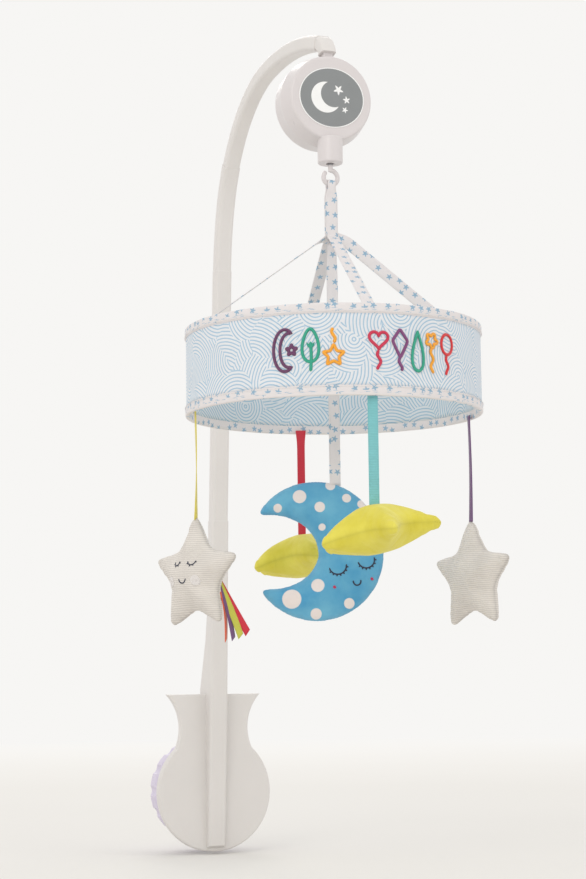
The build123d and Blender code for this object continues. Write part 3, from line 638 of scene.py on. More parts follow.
def plush_finish(name, colour, brushed, seam_shade, rib=None, dots=None, sheen=0.5):
    """Stuffed cloth. The pile is fine noise, brushed patches shift the colour, the seam is darker,
    ribs follow the cut on jersey with painted shade in their grooves, and dots show where the
    stored distance is below zero."""
    material, g, shader = new_material(name, Sheen_Weight=sheen, Sheen_Roughness=0.45)
    shader.inputs["Sheen Tint"].default_value = tuple(0.5 + 0.5 * c for c in colour[:3]) + (1,)
    place = place_of(g)
    patches = g.noise(place, 55.0, 4.0)
    body = g.mix(g.math("MULTIPLY_ADD", patches, 2.6, -0.8, clamp=True), colour, brushed)
    pile = g.noise(place, 1500.0, 3.0)
    height, depth = pile, 0.25 * MM
    if rib:
        cut = cut_of(g)
        bent = g.plus(g.axes(cut)[1], g.times(g.noise(cut, 40.0), 1.4 * MM))
        wave = g.ripple(bent, rib)
        stitches = g.ripple(g.axes(cut)[0], 1.1 * MM)
        height = g.plus(wave, g.times(g.plus(stitches, pile), 0.05))
        # Painted shade: on jersey the colour is darker in the grooves between ribs and lighter on their
        # tops.
        body = g.scaled(body, g.plus(0.93, g.times(height, 0.1)))
        depth = 0.1 * MM
    if dots:
        far = g.node("ShaderNodeAttribute", attribute_name="dot_distance").outputs["Fac"]
        fuzzy = g.plus(far, g.times(g.minus(pile, 0.5), 0.5 * MM))
        mask = g.minus(0.5, g.over(fuzzy, 0.5 * MM), clamp=True)
        body = g.mix(mask, body, dots)
    seam = g.node("ShaderNodeAttribute", attribute_name="seam").outputs["Fac"]
    body = g.scaled(body, g.minus(1.0, g.times(g.math("POWER", seam, 3.0), seam_shade)))
    rough = g.plus(0.82, g.times(pile, 0.16))
    connect(g, shader, body, rough, height, depth)
    return material


yellow_velour = plush_finish(
    "yellow_velour", rgb(230, 219, 92), rgb(216, 203, 66), 0.15, sheen=0.45)
grey_jersey = plush_finish(
    "grey_jersey", rgb(230, 224, 217), rgb(218, 212, 205), 0.22, rib=1.9 * MM, sheen=0.2)
blue_minky = plush_finish(
    "blue_minky", rgb(108, 178, 208), rgb(78, 156, 198), 0.2, dots=rgb(232, 222, 218), sheen=0.5)
satins = {
    "yellow": (222, 205, 70), "purple": (112, 74, 122),
    "orange": (226, 92, 52), "lime": (196, 196, 74),
}
ribbons = {
    "red": ribbon_finish("red_satin", rgb(206, 34, 56), 0.4, 1.3 * MM, 0.02 * MM),
    "teal": ribbon_finish("teal_grosgrain", rgb(132, 205, 210), 0.6, 1.25 * MM, 0.12 * MM),
}
for name, colour in satins.items():
    ribbons[name] = ribbon_finish(name + "_satin", rgb(*colour), 0.45, 1.1 * MM, 0.02 * MM)
thread_colours = {
    "plum": (104, 58, 96), "green": (46, 160, 132), "orange": (240, 164, 48),
    "crimson": (202, 46, 78), "violet": (126, 66, 118), "red": (212, 44, 50),
    "navy": (34, 42, 66), "pink": (196, 48, 92), "cream": (226, 221, 218),
}
threads = {}
for name, colour in thread_colours.items():
    threads[name] = thread_finish(name + "_thread", rgb(*colour))
print("soft finishes:", len(ribbons) + len(threads) + 3)

# %% [markdown]
# ### The label on the music box
# The front of the music box has a grey oval with a thin pale rim. Its print is a crescent with
# three stars, drawn by distances from a few middles in the plane of the label.

# %% Label finish
label_middle = middle("box_label")
label_half = corners("box_label")[1] - label_middle


def label_finish():
    """A grey oval: where the distance, scaled to the oval, is near its rim or in a shape, white."""
    material, g, shader = new_material("label_film")
    flat = g.vector("MULTIPLY", g.vector("SUBTRACT", place_of(g), tuple(label_middle)), (1.0, 0.0, 1.0))
    parts = g.axes(flat)
    flat = g.node("ShaderNodeCombineXYZ", {0: parts[0], 1: parts[2]}).outputs[0]

    def inside(centre, radius):
        """Where a round patch is: one inside."""
        away = g.vector("LENGTH", g.vector("SUBTRACT", flat, (*centre, 0.0)))
        return g.plus(g.over(g.minus(radius, away), 0.2 * MM), 0.5, clamp=True)

    disc, bite = inside((-5 * MM, 0.0), 13 * MM), inside((1.5 * MM, 3 * MM), 11 * MM)
    white = g.minus(disc, bite, clamp=True)
    for centre, size, turn in (((6, 7), 4.6, 0.3), ((13, -1), 3.4, 0.8), ((11.5, -9.5), 2.8, 0.1)):
        local = g.vector("SUBTRACT", flat, (centre[0] * MM, centre[1] * MM, 0.0))
        white = g.math("MAXIMUM", white, star_mask(g, local, turn, size * MM, 0.2 * MM))
    oval = g.vector("LENGTH", g.vector("DIVIDE", flat, (label_half[0], label_half[2], 1.0)))
    white = g.math("MAXIMUM", white, g.math("GREATER_THAN", oval, 0.972))
    patches = g.use(tone, Vector=place_of(g), Size=0.01, Strength=0.04)
    body = g.scaled(g.mix(white, rgb(136, 139, 140), rgb(243, 243, 242)), patches)
    rough = g.plus(0.34, g.times(white, 0.1))
    skin = g.use(grain, Vector=place_of(g), Size=0.5 * MM)
    connect(g, shader, body, rough, skin, 0.01 * MM)
    return material


finishes["label_film"] = label_finish()
print("label", (label_half * 2000).round(1), "mm")

# %% Finishes on the CAD pieces
for name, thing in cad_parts.items():
    for holder in thing.material_slots:
        slot_name = holder.material.name.split(".")[0]
        holder.material = finishes.get(slot_name, finishes["white_plastic"])
print("CAD nodes finished:", len(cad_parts))

# %% [markdown]
# ## The canopy
# A plastic hoop holds the ring open. Printed cotton is stretched round its outside and its
# inside, and two tapes are folded over the rims. A section carried round a circle gives all four,
# with small uneven waves, because cloth is never a perfect cylinder.

# %% Band, lining and bindings
TURNS, STITCHES = 480, 250  # steps and stitches round the ring
angles = np.linspace(0, 2 * pi, TURNS, endpoint=False)


def stretched_cloth(name, radius, outwards, seed, finish):
    """Cloth on the hoop: a thin section that goes up on one side and down on the other, its
    radius moved by long waves and by short puckers that grow towards the tapes."""
    up = np.linspace(BAND_BOTTOM - 1 * MM, BAND_TOP + 1 * MM, 16)
    share = (up - BAND_BOTTOM) / (BAND_TOP - BAND_BOTTOM)
    rim = np.clip(np.abs(2 * share - 1), 0, 1) ** 4
    long = waves(angles, seed, 3, 14)[:, None] * 0.22 * MM * (1 - rim)
    short = waves(angles, seed + 1, 60, 110)[:, None] * 0.16 * MM * rim
    face = radius + outwards * (0.1 * MM + long + short)
    back = np.broadcast_to(radius - outwards * 0.55 * MM, face.shape)
    section_r = np.concatenate([face, back[:, ::-1]], 1)
    section_z = np.broadcast_to(np.concatenate([up, up[::-1]]), section_r.shape)
    return carried(name, [ring_grid(section_r, section_z, np.concatenate([up, up[::-1]]))], finish)


def folded_tape(name, low, high, seed):
    """Tape folded over a rim: a rounded oblong section, radius and height as powers of cosine and
    sine, puffed out unevenly between its stitches."""
    t = np.linspace(0, 2 * pi, 24, endpoint=False)
    x, z = np.sign(np.cos(t)) * np.abs(np.cos(t)) ** 0.45, np.sign(np.sin(t)) * np.abs(np.sin(t)) ** 0.5
    inner, outer = LINING_R - 0.2 * MM, BAND_R + 1 * MM
    puff = 1 + 0.03 * (waves(angles, seed, 90, 160) + waves(angles, seed + 1, 12, 40))[:, None]
    radius = (inner + outer) / 2 + x[None] * (outer - inner) / 2 * puff
    lift = waves(angles, seed + 2, 4, 18)[:, None] * 0.1 * MM
    height = (low + high) / 2 + z[None] * (high - low) / 2 * (0.5 + puff / 2) + lift
    around = np.concatenate([[0], np.cumsum(np.hypot(np.diff(x) * 1.8 * MM, np.diff(z) * 4 * MM))])
    return carried(name, [ring_grid(radius, height, around)], star_tape)


def stitch_row(name, height):
    """A row of small stitches round the ring, each a short bead of thread on the tape."""
    parts = []
    for turn in np.linspace(0, 2 * pi, STITCHES, endpoint=False):
        outwards = pointing(turn + np.linspace(-0.34, 0.34, 5) * 2 * pi / STITCHES)
        path = AXIS + outwards * (BAND_R + 1 * MM) + UP * height
        parts.append(thread_grid(path, outwards, 0.5 * MM, 0.28 * MM))
    return belongs(carried(name, parts, threads["cream"]), "canopy", "star_print")


band = stretched_cloth("band_cloth", BAND_R, 1, 3, band_print)
lining = stretched_cloth("lining_cloth", LINING_R, -1, 5, lining_print)
belongs(band, "canopy", "band_fabric", "canopy_band")
belongs(lining, "canopy", "band_fabric", "canopy_lining")
top_low, top_high = corners("top_binding")
bottom_low, bottom_high = corners("bottom_binding")
top_tape = folded_tape("top_tape", top_low[2], top_high[2], 11)
bottom_tape = folded_tape("bottom_tape", bottom_low[2], bottom_high[2], 17)
belongs(top_tape, "canopy", "star_print", "top_binding")
belongs(bottom_tape, "canopy", "star_print", "bottom_binding")
rows = [stitch_row("top_stitches", top_low[2] + 1.3 * MM),
        stitch_row("bottom_stitches", bottom_high[2] - 1.3 * MM)]
print("ring", round(BAND_R * 2000), "mm across,", round((top_high[2] - bottom_low[2]) * 1000), "mm high")

# %% [markdown]
# ### Sewn pictures on the band
# Eight pictures are sewn on the front of the band in thick satin stitch. Each is one or two
# lines, given by a formula in millimetres, bent round the band and raised as beads of thread.

# %% Lines of the sewn pictures
circle = np.linspace(0, 2 * pi, 72, endpoint=False)


def smoothed(corner_points, steps=10):
    """A closed line through straight sides with softened corners."""
    ring = np.vstack([corner_points, corner_points[:1]])
    t = np.linspace(0, len(corner_points), len(corner_points) * steps, endpoint=False)
    return evened(np.stack([np.interp(t, np.arange(len(ring)), ring[:, k]) for k in (0, 1)], 1), 3)


def star_corners(reach, notch):
    """The ten corners of a star, one tip up, tips at reach and notches at a share of it."""
    r = np.where(np.arange(10) % 2 == 0, reach, reach * notch)
    return on_oval(np.radians(90.0 + 36.0 * np.arange(10)), r, r)


def crescent_line():
    """A tall crescent: most of an oval, and back along a smaller oval moved to the right. A small
    star stands between its horns."""
    outer = on_oval(np.radians(np.linspace(62, 298, 40)), 9, 16)
    inner = on_oval(np.radians(np.linspace(288, 72, 30)), 7, 13, 3.2)
    small_star = smoothed(star_corners(4.4, 0.45)) + [5.4, 0]
    return [(np.vstack([outer, inner]), True), (small_star, True)]


def leaf_lines():
    """A leaf: x is the sine of twice the climb, bent, with a line up its middle and a pair of veins."""
    x = 6.2 * np.sin(circle) * (1 + 0.25 * np.cos(circle))
    leaf = np.stack([x, 3 - 12.5 * np.cos(circle)], 1)
    stem = np.stack([0.6 * np.sin(np.linspace(0, 3, 20)), np.linspace(-17, 6, 20)], 1)
    veins = np.array([(-3.2, 5.4), (-1.4, 3.0), (0.3, 1.2), (1.8, 3.2), (3.4, 5.6)])
    return [(leaf, True), (stem, False), (veins, False)]


def string_line(top, bottom):
    """A string that hangs with two gentle bends."""
    y = np.linspace(top, bottom, 24)
    return np.stack([1.3 * np.sin((y - top) * 0.55), y], 1), False


def star_on_string():
    """A star with its string above it."""
    return [(smoothed(star_corners(8.5, 0.48)) + [0, -5], True), string_line(16, 4.5)]


def heart_on_string():
    """A heart: 16 sin^3 t across, and 13 cos t - 5 cos 2t - 2 cos 3t - cos 4t up, made smaller."""
    x = 16 * np.sin(circle) ** 3
    y = 13 * np.cos(circle) - 5 * np.cos(2 * circle) - 2 * np.cos(3 * circle) - np.cos(4 * circle)
    return [(np.stack([x, y], 1) * 0.46 + [0, 7.5], True), string_line(-1.0, -16)]


def kite_lines():
    """A kite with its tail."""
    kite = smoothed(np.array([(0, 16), (6.5, 7), (0, -6), (-6.5, 7)]), 16)
    return [(kite, True), string_line(-5.4, -16)]


def flower_lines():
    """A flower: a circle whose radius swells five times, on a stem."""
    r = 4.7 * (1 + 0.24 * np.cos(5 * circle + 0.9))
    return [(on_oval(circle, r, r, 0, 9.5), True), string_line(3.6, -16)]


def balloon_lines():
    """A round balloon with its string."""
    return [(on_oval(circle, 6.2, 7.8, 0, 8), True), string_line(-0.6, -16)]


def pulled_leaf():
    """A drop: x is a sine times a power of the half-angle's sine, so that it ends in a point."""
    x = 7.0 * np.sin(circle) * np.sin(circle / 2) ** 1.2
    return [(np.stack([x, 15 * np.cos(circle)], 1), True)]


# %% Sew the pictures on
pictures = [
    ("crescent", crescent_line(), -19.0, "plum"),
    ("leaf", leaf_lines(), -9.4, "green"),
    ("star", star_on_string(), -1.0, "orange"),
    ("heart", heart_on_string(), 15.6, "crimson"),
    ("kite", kite_lines(), 24.0, "violet"),
    ("drop", pulled_leaf(), 31.4, "green"),
    ("flower", flower_lines(), 37.9, "orange"),
    ("balloon", balloon_lines(), 45.8, "red"),
]
STROKE_W, STROKE_H = 2.5 * MM, 1.0 * MM
band_middle = (BAND_BOTTOM + BAND_TOP) / 2
for title, lines, turn, colour_name in pictures:
    parts = []
    for line, closed in lines:
        outwards = pointing(radians(FRONT + turn) + line[:, 0] * MM / BAND_R)
        path = AXIS + outwards * (BAND_R + 0.3 * MM) + np.outer(line[:, 1] * MM + band_middle, UP)
        parts.append(thread_grid(path, outwards, STROKE_W, STROKE_H, closed))
    picture = carried(f"sewn_{title}", parts, threads[colour_name])
    belongs(picture, "canopy", "band_fabric")

# %% [markdown]
# ### Strap and ribbons of the canopy
# One strap goes through the hook and back down, gathered where it passes the wire. Four ribbons
# leave its lower end, turn flat and run straight to the rim, where their ends are sewn inside.
# The one on the right stands on its edge.

# %% Strap and the four ribbons
HUB = AXIS + UP * (corners("hanger_strap")[0][2] + 3 * MM)  # where strap and ribbons meet
STRAP_W, RIBBON_W = 10.7 * MM, 10 * MM


def softened(points, steps=60):
    """A smooth path: points joined by straight runs, then evened out by a running mean."""
    points = np.asarray(points, float)
    s = along(points)
    t = np.linspace(0, s[-1], steps)
    path = np.stack([np.interp(t, s, points[:, k]) for k in range(3)], 1)
    for _ in range(4):
        path[1:-1] = (path[:-2] + path[1:-1] + path[2:]) / 3
    return path


half_loop = np.array([
    (0, -1.0, -2), (0, -1.0, 32), (0, -1.3, 36), (0, -2.9, 41),
    (0, -2.9, 45), (0, -2.2, 47.6), (0, 0, 48.2),
])
loop_path = softened(np.vstack([half_loop, half_loop[-2::-1] * [1, -1, 1]]) * MM + HUB, 110)
gather = np.clip((loop_path[:, 2] - HUB[2] - 33 * MM) / (8 * MM), 0, 1)
strap_tape = tape_grid(loop_path, (1.0, 0.0, 0.0), STRAP_W - gather * 3.9 * MM, 0.8 * MM)
strap = carried("strap", [strap_tape], star_tape)
belongs(strap, "canopy", "star_print", "hanger_strap")

for side_name, base in (("left", 180.0), ("front", -90.0), ("right", 0.0), ("back", 90.0)):
    out, across = heading(base + RING_TURN), heading(base + RING_TURN + 90)
    upright = side_name == "right"
    inset = 3.4 * MM if upright else 0.0
    start = HUB + out * (9 * MM + inset) - UP * 2.9 * MM
    end = AXIS + out * (BAND_R - 3.6 * MM - inset) + UP * (top_low[2] + 3.7 * MM)
    stops = [HUB + UP * 4 * MM, HUB + UP * 0.5 * MM + out * MM, start, (start + end) / 2, end]
    if not upright:
        stops.append(end + out * 0.5 * MM - UP * 10 * MM)
    path = softened(stops, 90)
    run = unit(end - start)
    final = np.cross(run, across) if upright else across
    share = np.clip(along(path) / (16 * MM), 0, 1)[:, None]
    first = np.array([1.0, 0.0, 0.0]) * (1 if final[0] >= 0 else -1)
    side = unit(first * (1 - share) + final * share + 1e-6)
    ribbon = carried(f"ribbon_{side_name}", [tape_grid(path, side, RIBBON_W, 0.6 * MM)], star_tape)
    belongs(ribbon, "canopy", "star_print", f"canopy_ribbon_{side_name}")
print("strap", round(along(loop_path)[-1] * 1000), "mm long, four ribbons")

# %% [markdown]
# ## Hanging ribbons
# Each toy hangs from its own ribbon, which is joined to no body. Their flat sides face different
# ways and each has a slight twist.

# %% Toy ribbons


def hang(name, node, finish, facing, width, twist, flare=0.0, thick=0.6 * MM):
    """A hanging ribbon: a nearly straight path with a slight bow, its side turned by a twist that
    grows towards the foot, and its width flared by a bell curve at the top."""
    low, high = corners(node)
    spot = middle(node)
    s = np.linspace(0, 1, 60)
    path = spot * [1, 1, 0] + np.outer(high[2] + (low[2] - high[2] - 2 * MM) * s, UP)
    path += np.outer(np.sin(pi * s) * 0.7 * MM, heading(facing))
    side = pointing(np.radians(facing + 90 + twist * s**2))
    wide = width * (1 + flare * np.exp(-((s * 12) ** 2)))
    ribbon = carried(name, [tape_grid(path, side, wide, thick)], finish)
    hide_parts(node)
    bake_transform(ribbon)


yellow, purple, teal, red = (ribbons[name] for name in ("yellow", "purple", "teal", "red"))
hang("yellow_hanger", "star_left_ribbon", yellow, -8, 6 * MM, -34)
hang("purple_hanger", "star_right_ribbon", purple, -10, 6 * MM, 14, 0.2)
hang("teal_hanger", "yellow_front_ribbon", teal, FRONT, 7.8 * MM, 4)
hang("red_hanger", "yellow_back_ribbon", red, FRONT, 6.6 * MM, -6, 0.3)
hang("moon_hanger", "moon_ribbon", star_tape, FRONT, 9 * MM, 10, -0.2)

# %% [markdown]
# ## Stuffed toys
# A stuffed toy is two flat pieces of cloth sewn together along their edge and filled. That is how
# these are made: the two panels share their seam, cloth simulation blows them up with pressure,
# and the result is fitted to the room that the CAD toy holds. The puckers along the seam come
# from the simulation. It runs at ten times the size, where the solver behaves better.

# %% Panels and filling
BIG, PRESSURE, LAST_FRAME = 10.0, 15.0, 25
KEEP_CUT = 0.86  # share of the flat cut that the filled shape keeps in its plane
FULLNESS = 0.68  # below 1, arms and horns are nearly as thick as the middle


def evenly(outline, count):
    """A closed outline walked in equal steps."""
    ring = np.vstack([outline, outline[:1]])
    s = along(ring)
    t = np.linspace(0, s[-1], count, endpoint=False)
    return np.stack([np.interp(t, s, ring[:, k]) for k in (0, 1)], 1)


def within(points, outline):
    """Which points lie inside an outline: a ray to the right crosses it an odd number of times."""
    x, y = points[:, :1], points[:, 1:]
    x1, y1 = outline.T
    x2, y2 = np.roll(outline, -1, 0).T
    crosses = ((y1 > y) != (y2 > y)) & (x < (x2 - x1) * (y - y1) / (y2 - y1 + 1e-12) + x1)
    return crosses.sum(1) % 2 == 1


def panels(outline, step):
    """Two panels that share a seam: points in a triangular grid inside the outline, joined by
    triangles, once for the front and once, turned round, for the back."""
    around = len(outline)
    low, high = outline.min(0), outline.max(0)
    x, y = np.meshgrid(np.arange(low[0], high[0], step), np.arange(low[1], high[1], step * 0.866))
    x = x + (np.arange(len(y))[:, None] % 2) * step / 2
    inner = np.stack([x.ravel(), y.ravel()], 1)
    inner = inner[within(inner, outline)]
    gap = np.linalg.norm(inner[:, None] - outline[None], axis=2).min(1)
    flat = np.vstack([outline, inner[gap > 0.7 * step]])
    edges = [(k, (k + 1) % around) for k in range(around)]
    made = delaunay_2d_cdt([Vector(p) for p in flat], edges, [], 1, 1e-7)
    flat = np.array([tuple(p) for p in made[0]])
    front = np.array([tuple(f) for f in made[2]])
    on_seam = np.array([any(k < around for k in source) for source in made[3]])
    back_of = np.where(on_seam, np.arange(len(flat)), len(flat) + np.cumsum(~on_seam) - 1)
    lift = np.where(on_seam, 0.0, 2 * MM)
    points = np.vstack([np.c_[flat, lift], np.c_[flat, -lift][~on_seam]])
    cut = np.vstack([flat, flat[~on_seam]])
    seam = np.concatenate([on_seam, np.zeros((~on_seam).sum(), bool)])
    return points, np.vstack([front, back_of[front][:, ::-1]]), cut, seam


def filled(points, faces):
    """The panels blown up by cloth simulation with pressure and no gravity."""
    mesh = bpy.data.meshes.new("panels")
    mesh.from_pydata((points * BIG).tolist(), [], faces.tolist())
    thing = bpy.data.objects.new("panels", mesh)
    scene.collection.objects.link(thing)
    cloth = thing.modifiers.new("Cloth", "CLOTH")
    settings = cloth.settings
    settings.quality, settings.mass, settings.air_damping = 6, 0.3, 2
    settings.use_pressure, settings.uniform_pressure_force = True, PRESSURE
    settings.tension_stiffness = settings.compression_stiffness = 40
    settings.shear_stiffness, settings.bending_stiffness, settings.tension_damping = 13, 2, 10
    settings.effector_weights.gravity = 0
    cloth.collision_settings.use_collision = False
    cloth.collision_settings.use_self_collision = False
    for clock in (cloth.point_cache, scene):
        clock.frame_start, clock.frame_end = 1, LAST_FRAME
    for number in range(1, LAST_FRAME + 1):
        scene.frame_set(number)
    blown = points_of(thing.evaluated_get(bpy.context.evaluated_depsgraph_get()).to_mesh())
    bpy.data.objects.remove(thing)
    scene.frame_set(1)
    return blown / BIG


def fitted(points, low, high, thick):
    """Points moved and scaled so that they fill a width, a height and a thickness."""
    have_low, have_high = points.min(0), points.max(0)
    want_low, want_high = np.array([*low, -thick / 2]), np.array([*high, thick / 2])
    return (points - have_low) / (have_high - have_low) * (want_high - want_low) + want_low


def soft_shift(points, seed, size, reach):
    """A slow uneven drift of up to a size: sines of the place with seeded directions."""
    rng = np.random.default_rng(seed)
    drift = np.zeros_like(points)
    for _ in range(4):
        wave = rng.normal(0, 1 / reach, 3)
        drift += np.sin(points @ wave + rng.uniform(0, 6))[:, None] * rng.normal(0, 1, 3)
    return drift * size / 4


def plush(name, outline, step, low, high, thick, plane, centre, finish, seed,
          droop=0.0, dots=None, levels=1):
    """A stuffed toy: panels, filling, fitting, a droop that grows with the square of the
    distance, a little unevenness, and one or two subdivisions with the seam kept sharper. Seam
    and dot distances are stored on its mesh."""
    points, faces, cut, seam = panels(evenly(outline, int(along(outline)[-1] / step)), step)
    blown = filled(points, faces)
    blown[:, :2] += (cut - blown[:, :2]) * KEEP_CUT
    local = fitted(blown, low, high, thick)
    depth = local[:, 2] * 2 / thick
    local[:, 2] = np.sign(depth) * thick / 2 * np.abs(depth) ** FULLNESS
    reach = np.linalg.norm(local[:, :2], axis=1) / np.abs(high).max()
    local[:, 2] -= droop * reach**2
    local += soft_shift(local, seed, 2.2 * MM, 28 * MM)
    mesh = bpy.data.meshes.new(name)
    mesh.from_pydata(local.tolist(), [], faces.tolist())
    layer = mesh.uv_layers.new(name="cut")
    layer.data.foreach_set("uv", cut[faces.ravel()].astype(np.float32).ravel())
    mark = mesh.attributes.new("seam", "FLOAT", "POINT")
    mark.data.foreach_set("value", seam.astype(np.float32))
    ends = np.empty(len(mesh.edges) * 2, np.int32)
    mesh.edges.foreach_get("vertices", ends)
    crease = mesh.attributes.new("crease_edge", "FLOAT", "EDGE")
    crease.data.foreach_set("value", (seam[ends.reshape(-1, 2)].all(1) * 0.3).astype(np.float32))
    rough = bpy.data.objects.new(name + "_rough", mesh)
    scene.collection.objects.link(rough)
    subdivide = rough.modifiers.new("Subdivision", "SUBSURF")
    subdivide.levels = subdivide.render_levels = levels
    ready = rough.evaluated_get(bpy.context.evaluated_depsgraph_get())
    smooth = bpy.data.meshes.new_from_object(ready)
    smooth.name = name
    bpy.data.objects.remove(rough)
    flat = points_of(smooth)
    if dots is not None:
        away = np.linalg.norm(flat[:, None, :2] - dots[None, :, :2], axis=2) - dots[None, :, 2]
        store = smooth.attributes.new("dot_distance", "FLOAT", "POINT")
        store.data.foreach_set("value", away.min(1).astype(np.float32))
    placed = flat @ np.array(plane) + centre
    smooth.vertices.foreach_set("co", placed.ravel())
    smooth.update()
    return finished(name, smooth, finish)


def star_outline(tip, notch, softness):
    """A star's cut, its tips rounded by a running mean that is taken many times over."""
    return evened(evenly(star_corners(tip, notch), 240), softness)


print("stuffing helpers ready")

# %% [markdown]
# ### Four stars
# Two grey stars of ribbed jersey stand upright at the sides, and two yellow velour stars lie
# level at the front and the back with their points drooping a little.

# %% Make the stars
CUT_TIP = 58 * MM  # reach of the flat pieces
GREY_SIZE, YELLOW_SIZE = (46.5 * MM, 31 * MM), (50 * MM, 36 * MM)  # reach and thickness
GREY_CUT, YELLOW_CUT = (0.52, 24), (0.47, 44)  # notch and softness
YELLOW_FIRST, YELLOW_DROOP = -75.5, 5 * MM
GREY_DROP, YELLOW_DROP = 45.5 * MM, 16.3 * MM  # from a ribbon's foot to the middle of its star


def plush_star(name, plane, centre, seed, finish, slot, size, cut, first, droop):
    """A stuffed star, whose name is also its body's, with its first tip at an angle."""
    turn = radians(first - 90)
    spin = np.array([[cos(turn), sin(turn)], [-sin(turn), cos(turn)]])
    upright_cut = star_outline(CUT_TIP, *cut)
    outline = upright_cut @ spin
    wide = 2 * size[0] * cos(radians(18)) / np.ptp(upright_cut[:, 0])
    low, high = outline.min(0) * wide, outline.max(0) * wide
    star = plush("plush_" + name, outline, 2.5 * MM, low, high, size[1],
                 plane, centre, finish, seed, droop)
    belongs(star, name, slot, name)
    return star


left_plane, flat_plane = upright_plane(-153.9), lying_plane(FRONT + 90, 11.5)
left_spot = under_ribbon("star_left_ribbon", GREY_DROP)
right_spot = under_ribbon("star_right_ribbon", GREY_DROP)
front_spot = under_ribbon("yellow_front_ribbon", YELLOW_DROP)
back_spot = under_ribbon("yellow_back_ribbon", YELLOW_DROP)
grey_kind = (grey_jersey, "grey_rib", GREY_SIZE, GREY_CUT, 90, 0.0)
yellow_kind = (yellow_velour, "yellow_plush", YELLOW_SIZE, YELLOW_CUT, YELLOW_FIRST, YELLOW_DROOP)
left_star = plush_star("star_left", left_plane, left_spot, 21, *grey_kind)
plush_star("star_right", upright_plane(14.4), right_spot, 23, *grey_kind)
plush_star("yellow_star_front", flat_plane, front_spot, 25, *yellow_kind)
plush_star("yellow_star_back", flat_plane, back_spot, 29, *yellow_kind)

# %% [markdown]
# ### The moon
# The moon is a thick crescent of short blue pile: most of a circle, and back along an oval that is
# bitten out of its left side, with softened horns. Its pale dots have their places and sizes given
# in millimetres from the middle of the crescent's plane, and the same dots serve its back.

# %% Make the moon
MOON_OFFSET, MOON_R, MOON_THICK = -18 * MM, 56 * MM, 34 * MM
BITE_X, BITE_W, BITE_H = -60 * MM, 43.6 * MM, 32 * MM
moon_spot = AXIS + UP * middle("moon")[2]
moon_plane = upright_plane(FRONT)
outer = on_oval(np.radians(np.linspace(142, -142, 240)), MOON_R, MOON_R, MOON_OFFSET)
bite = on_oval(np.radians(np.linspace(-92, 92, 110)), BITE_W, BITE_H, BITE_X)
moon_shape = evened(evenly(np.vstack([outer, bite]), 420), 16)
moon_dots = MM * np.array([
    (-28.8, 44, 5.4), (-46.4, 35.2, 3.4), (-12.8, 35.2, 4.2), (8.8, 42.4, 3.6),
    (-4, 53, 4), (20.8, 37.6, 3.5), (-11.2, 19.2, 2.8), (-15.2, -27.2, 5.2),
    (-36, -37.6, 7.6), (-16.8, -49.6, 4.4), (9.6, -41.6, 4.2),
])
low, high = moon_shape.min(0), moon_shape.max(0)
moon = plush("plush_moon", moon_shape, 2.6 * MM, low, high, MOON_THICK,
             moon_plane, moon_spot, blue_minky, 31, dots=moon_dots, levels=2)
belongs(moon, "moon", "blue_plush", "moon")

# %% [markdown]
# ### Faces
# The moon and the left star have sleeping faces: closed eyes with lashes, a small smile and
# cheeks. Lines are drawn flat and dropped onto the toy along its facing direction, where they
# become beads of thread. Cheeks are small rounds of thread wound in a spiral.

# %% Sew the faces


def dropped(toy, plane, centre, line):
    """Flat points dropped onto a toy from its front: their places and the surface normals."""
    faces = [tuple(face.vertices) for face in toy.data.polygons]
    tree = BVHTree.FromPolygons(points_of(toy.data).tolist(), faces)
    across, up, out = plane
    places, normals = [], []
    for x, y in line:
        start = centre + across * x * MM + up * y * MM + out * 60 * MM
        hit, normal, _, _ = tree.ray_cast(Vector(start), Vector(-out))
        places.append(tuple(hit))
        normals.append(tuple(normal))
    return np.array(places), unit(np.array(normals))


def arc_line(x, y, radius, first, last):
    """Part of a circle as a flat line."""
    return on_oval(np.radians(np.linspace(first, last, 22)), radius, radius, x, y)


def eye_lines(x, y, radius, tilt, lashes, length):
    """A closed eye: the lower part of a circle with lashes that stand out from it."""
    lines = [arc_line(x, y, radius, 182 + tilt, 364 + tilt)]
    for a in np.radians(np.linspace(212, 345, lashes) + tilt):
        t = np.linspace(radius, radius + length, 5)
        lines.append(on_oval(a, t, t, x, y))
    return lines


def spiral(x, y, radius, pitch):
    """A round patch of thread: a spiral whose radius grows evenly."""
    a = np.linspace(0, 2 * pi * radius / pitch, int(26 * radius / pitch))
    r = a / (2 * pi) * pitch
    return on_oval(a, r, r, x, y)


def sew(name, toy, body, plane, centre, lines, width, height, finish, slot):
    """Threads on a toy and its body, one bead for each flat line."""
    parts = []
    for line in lines:
        places, normals = dropped(toy, plane, centre, line)
        parts.append(thread_grid(places, normals, width, height))
    return belongs(carried(name, parts, threads[finish]), body, slot)


on_moon = (moon, "moon", moon_plane, moon_spot)
on_star = (left_star, "star_left", left_plane, left_spot)
moon_face = [*eye_lines(0.8, -12.0, 6.8, 8, 7, 1.8), *eye_lines(23.4, -7.0, 6.8, 14, 7, 1.8),
             arc_line(16.0, -24.4, 3.0, 165, 385)]
star_face = [*eye_lines(-6.5, 10.5, 3.2, 0, 4, 1.5), *eye_lines(8.5, 10.5, 3.2, 0, 4, 1.5),
             arc_line(0.5, -3.0, 3.6, 180, 360)]
moon_rounds = [spiral(-2.0, -28.6, 1.2, 0.6), spiral(28.0, -22.2, 1.2, 0.6)]
star_rounds = [spiral(13.2, -4.6, 4.0, 0.8), spiral(-13.6, -4.6, 4.0, 0.8)]
sew("moon_eyes", *on_moon, moon_face, 1.25 * MM, 0.5 * MM, "navy", "blue_plush")
sew("moon_cheeks", *on_moon, moon_rounds, 0.7 * MM, 0.5 * MM, "pink", "blue_plush")
sew("star_eyes", *on_star, star_face, 1.0 * MM, 0.5 * MM, "navy", "grey_rib")
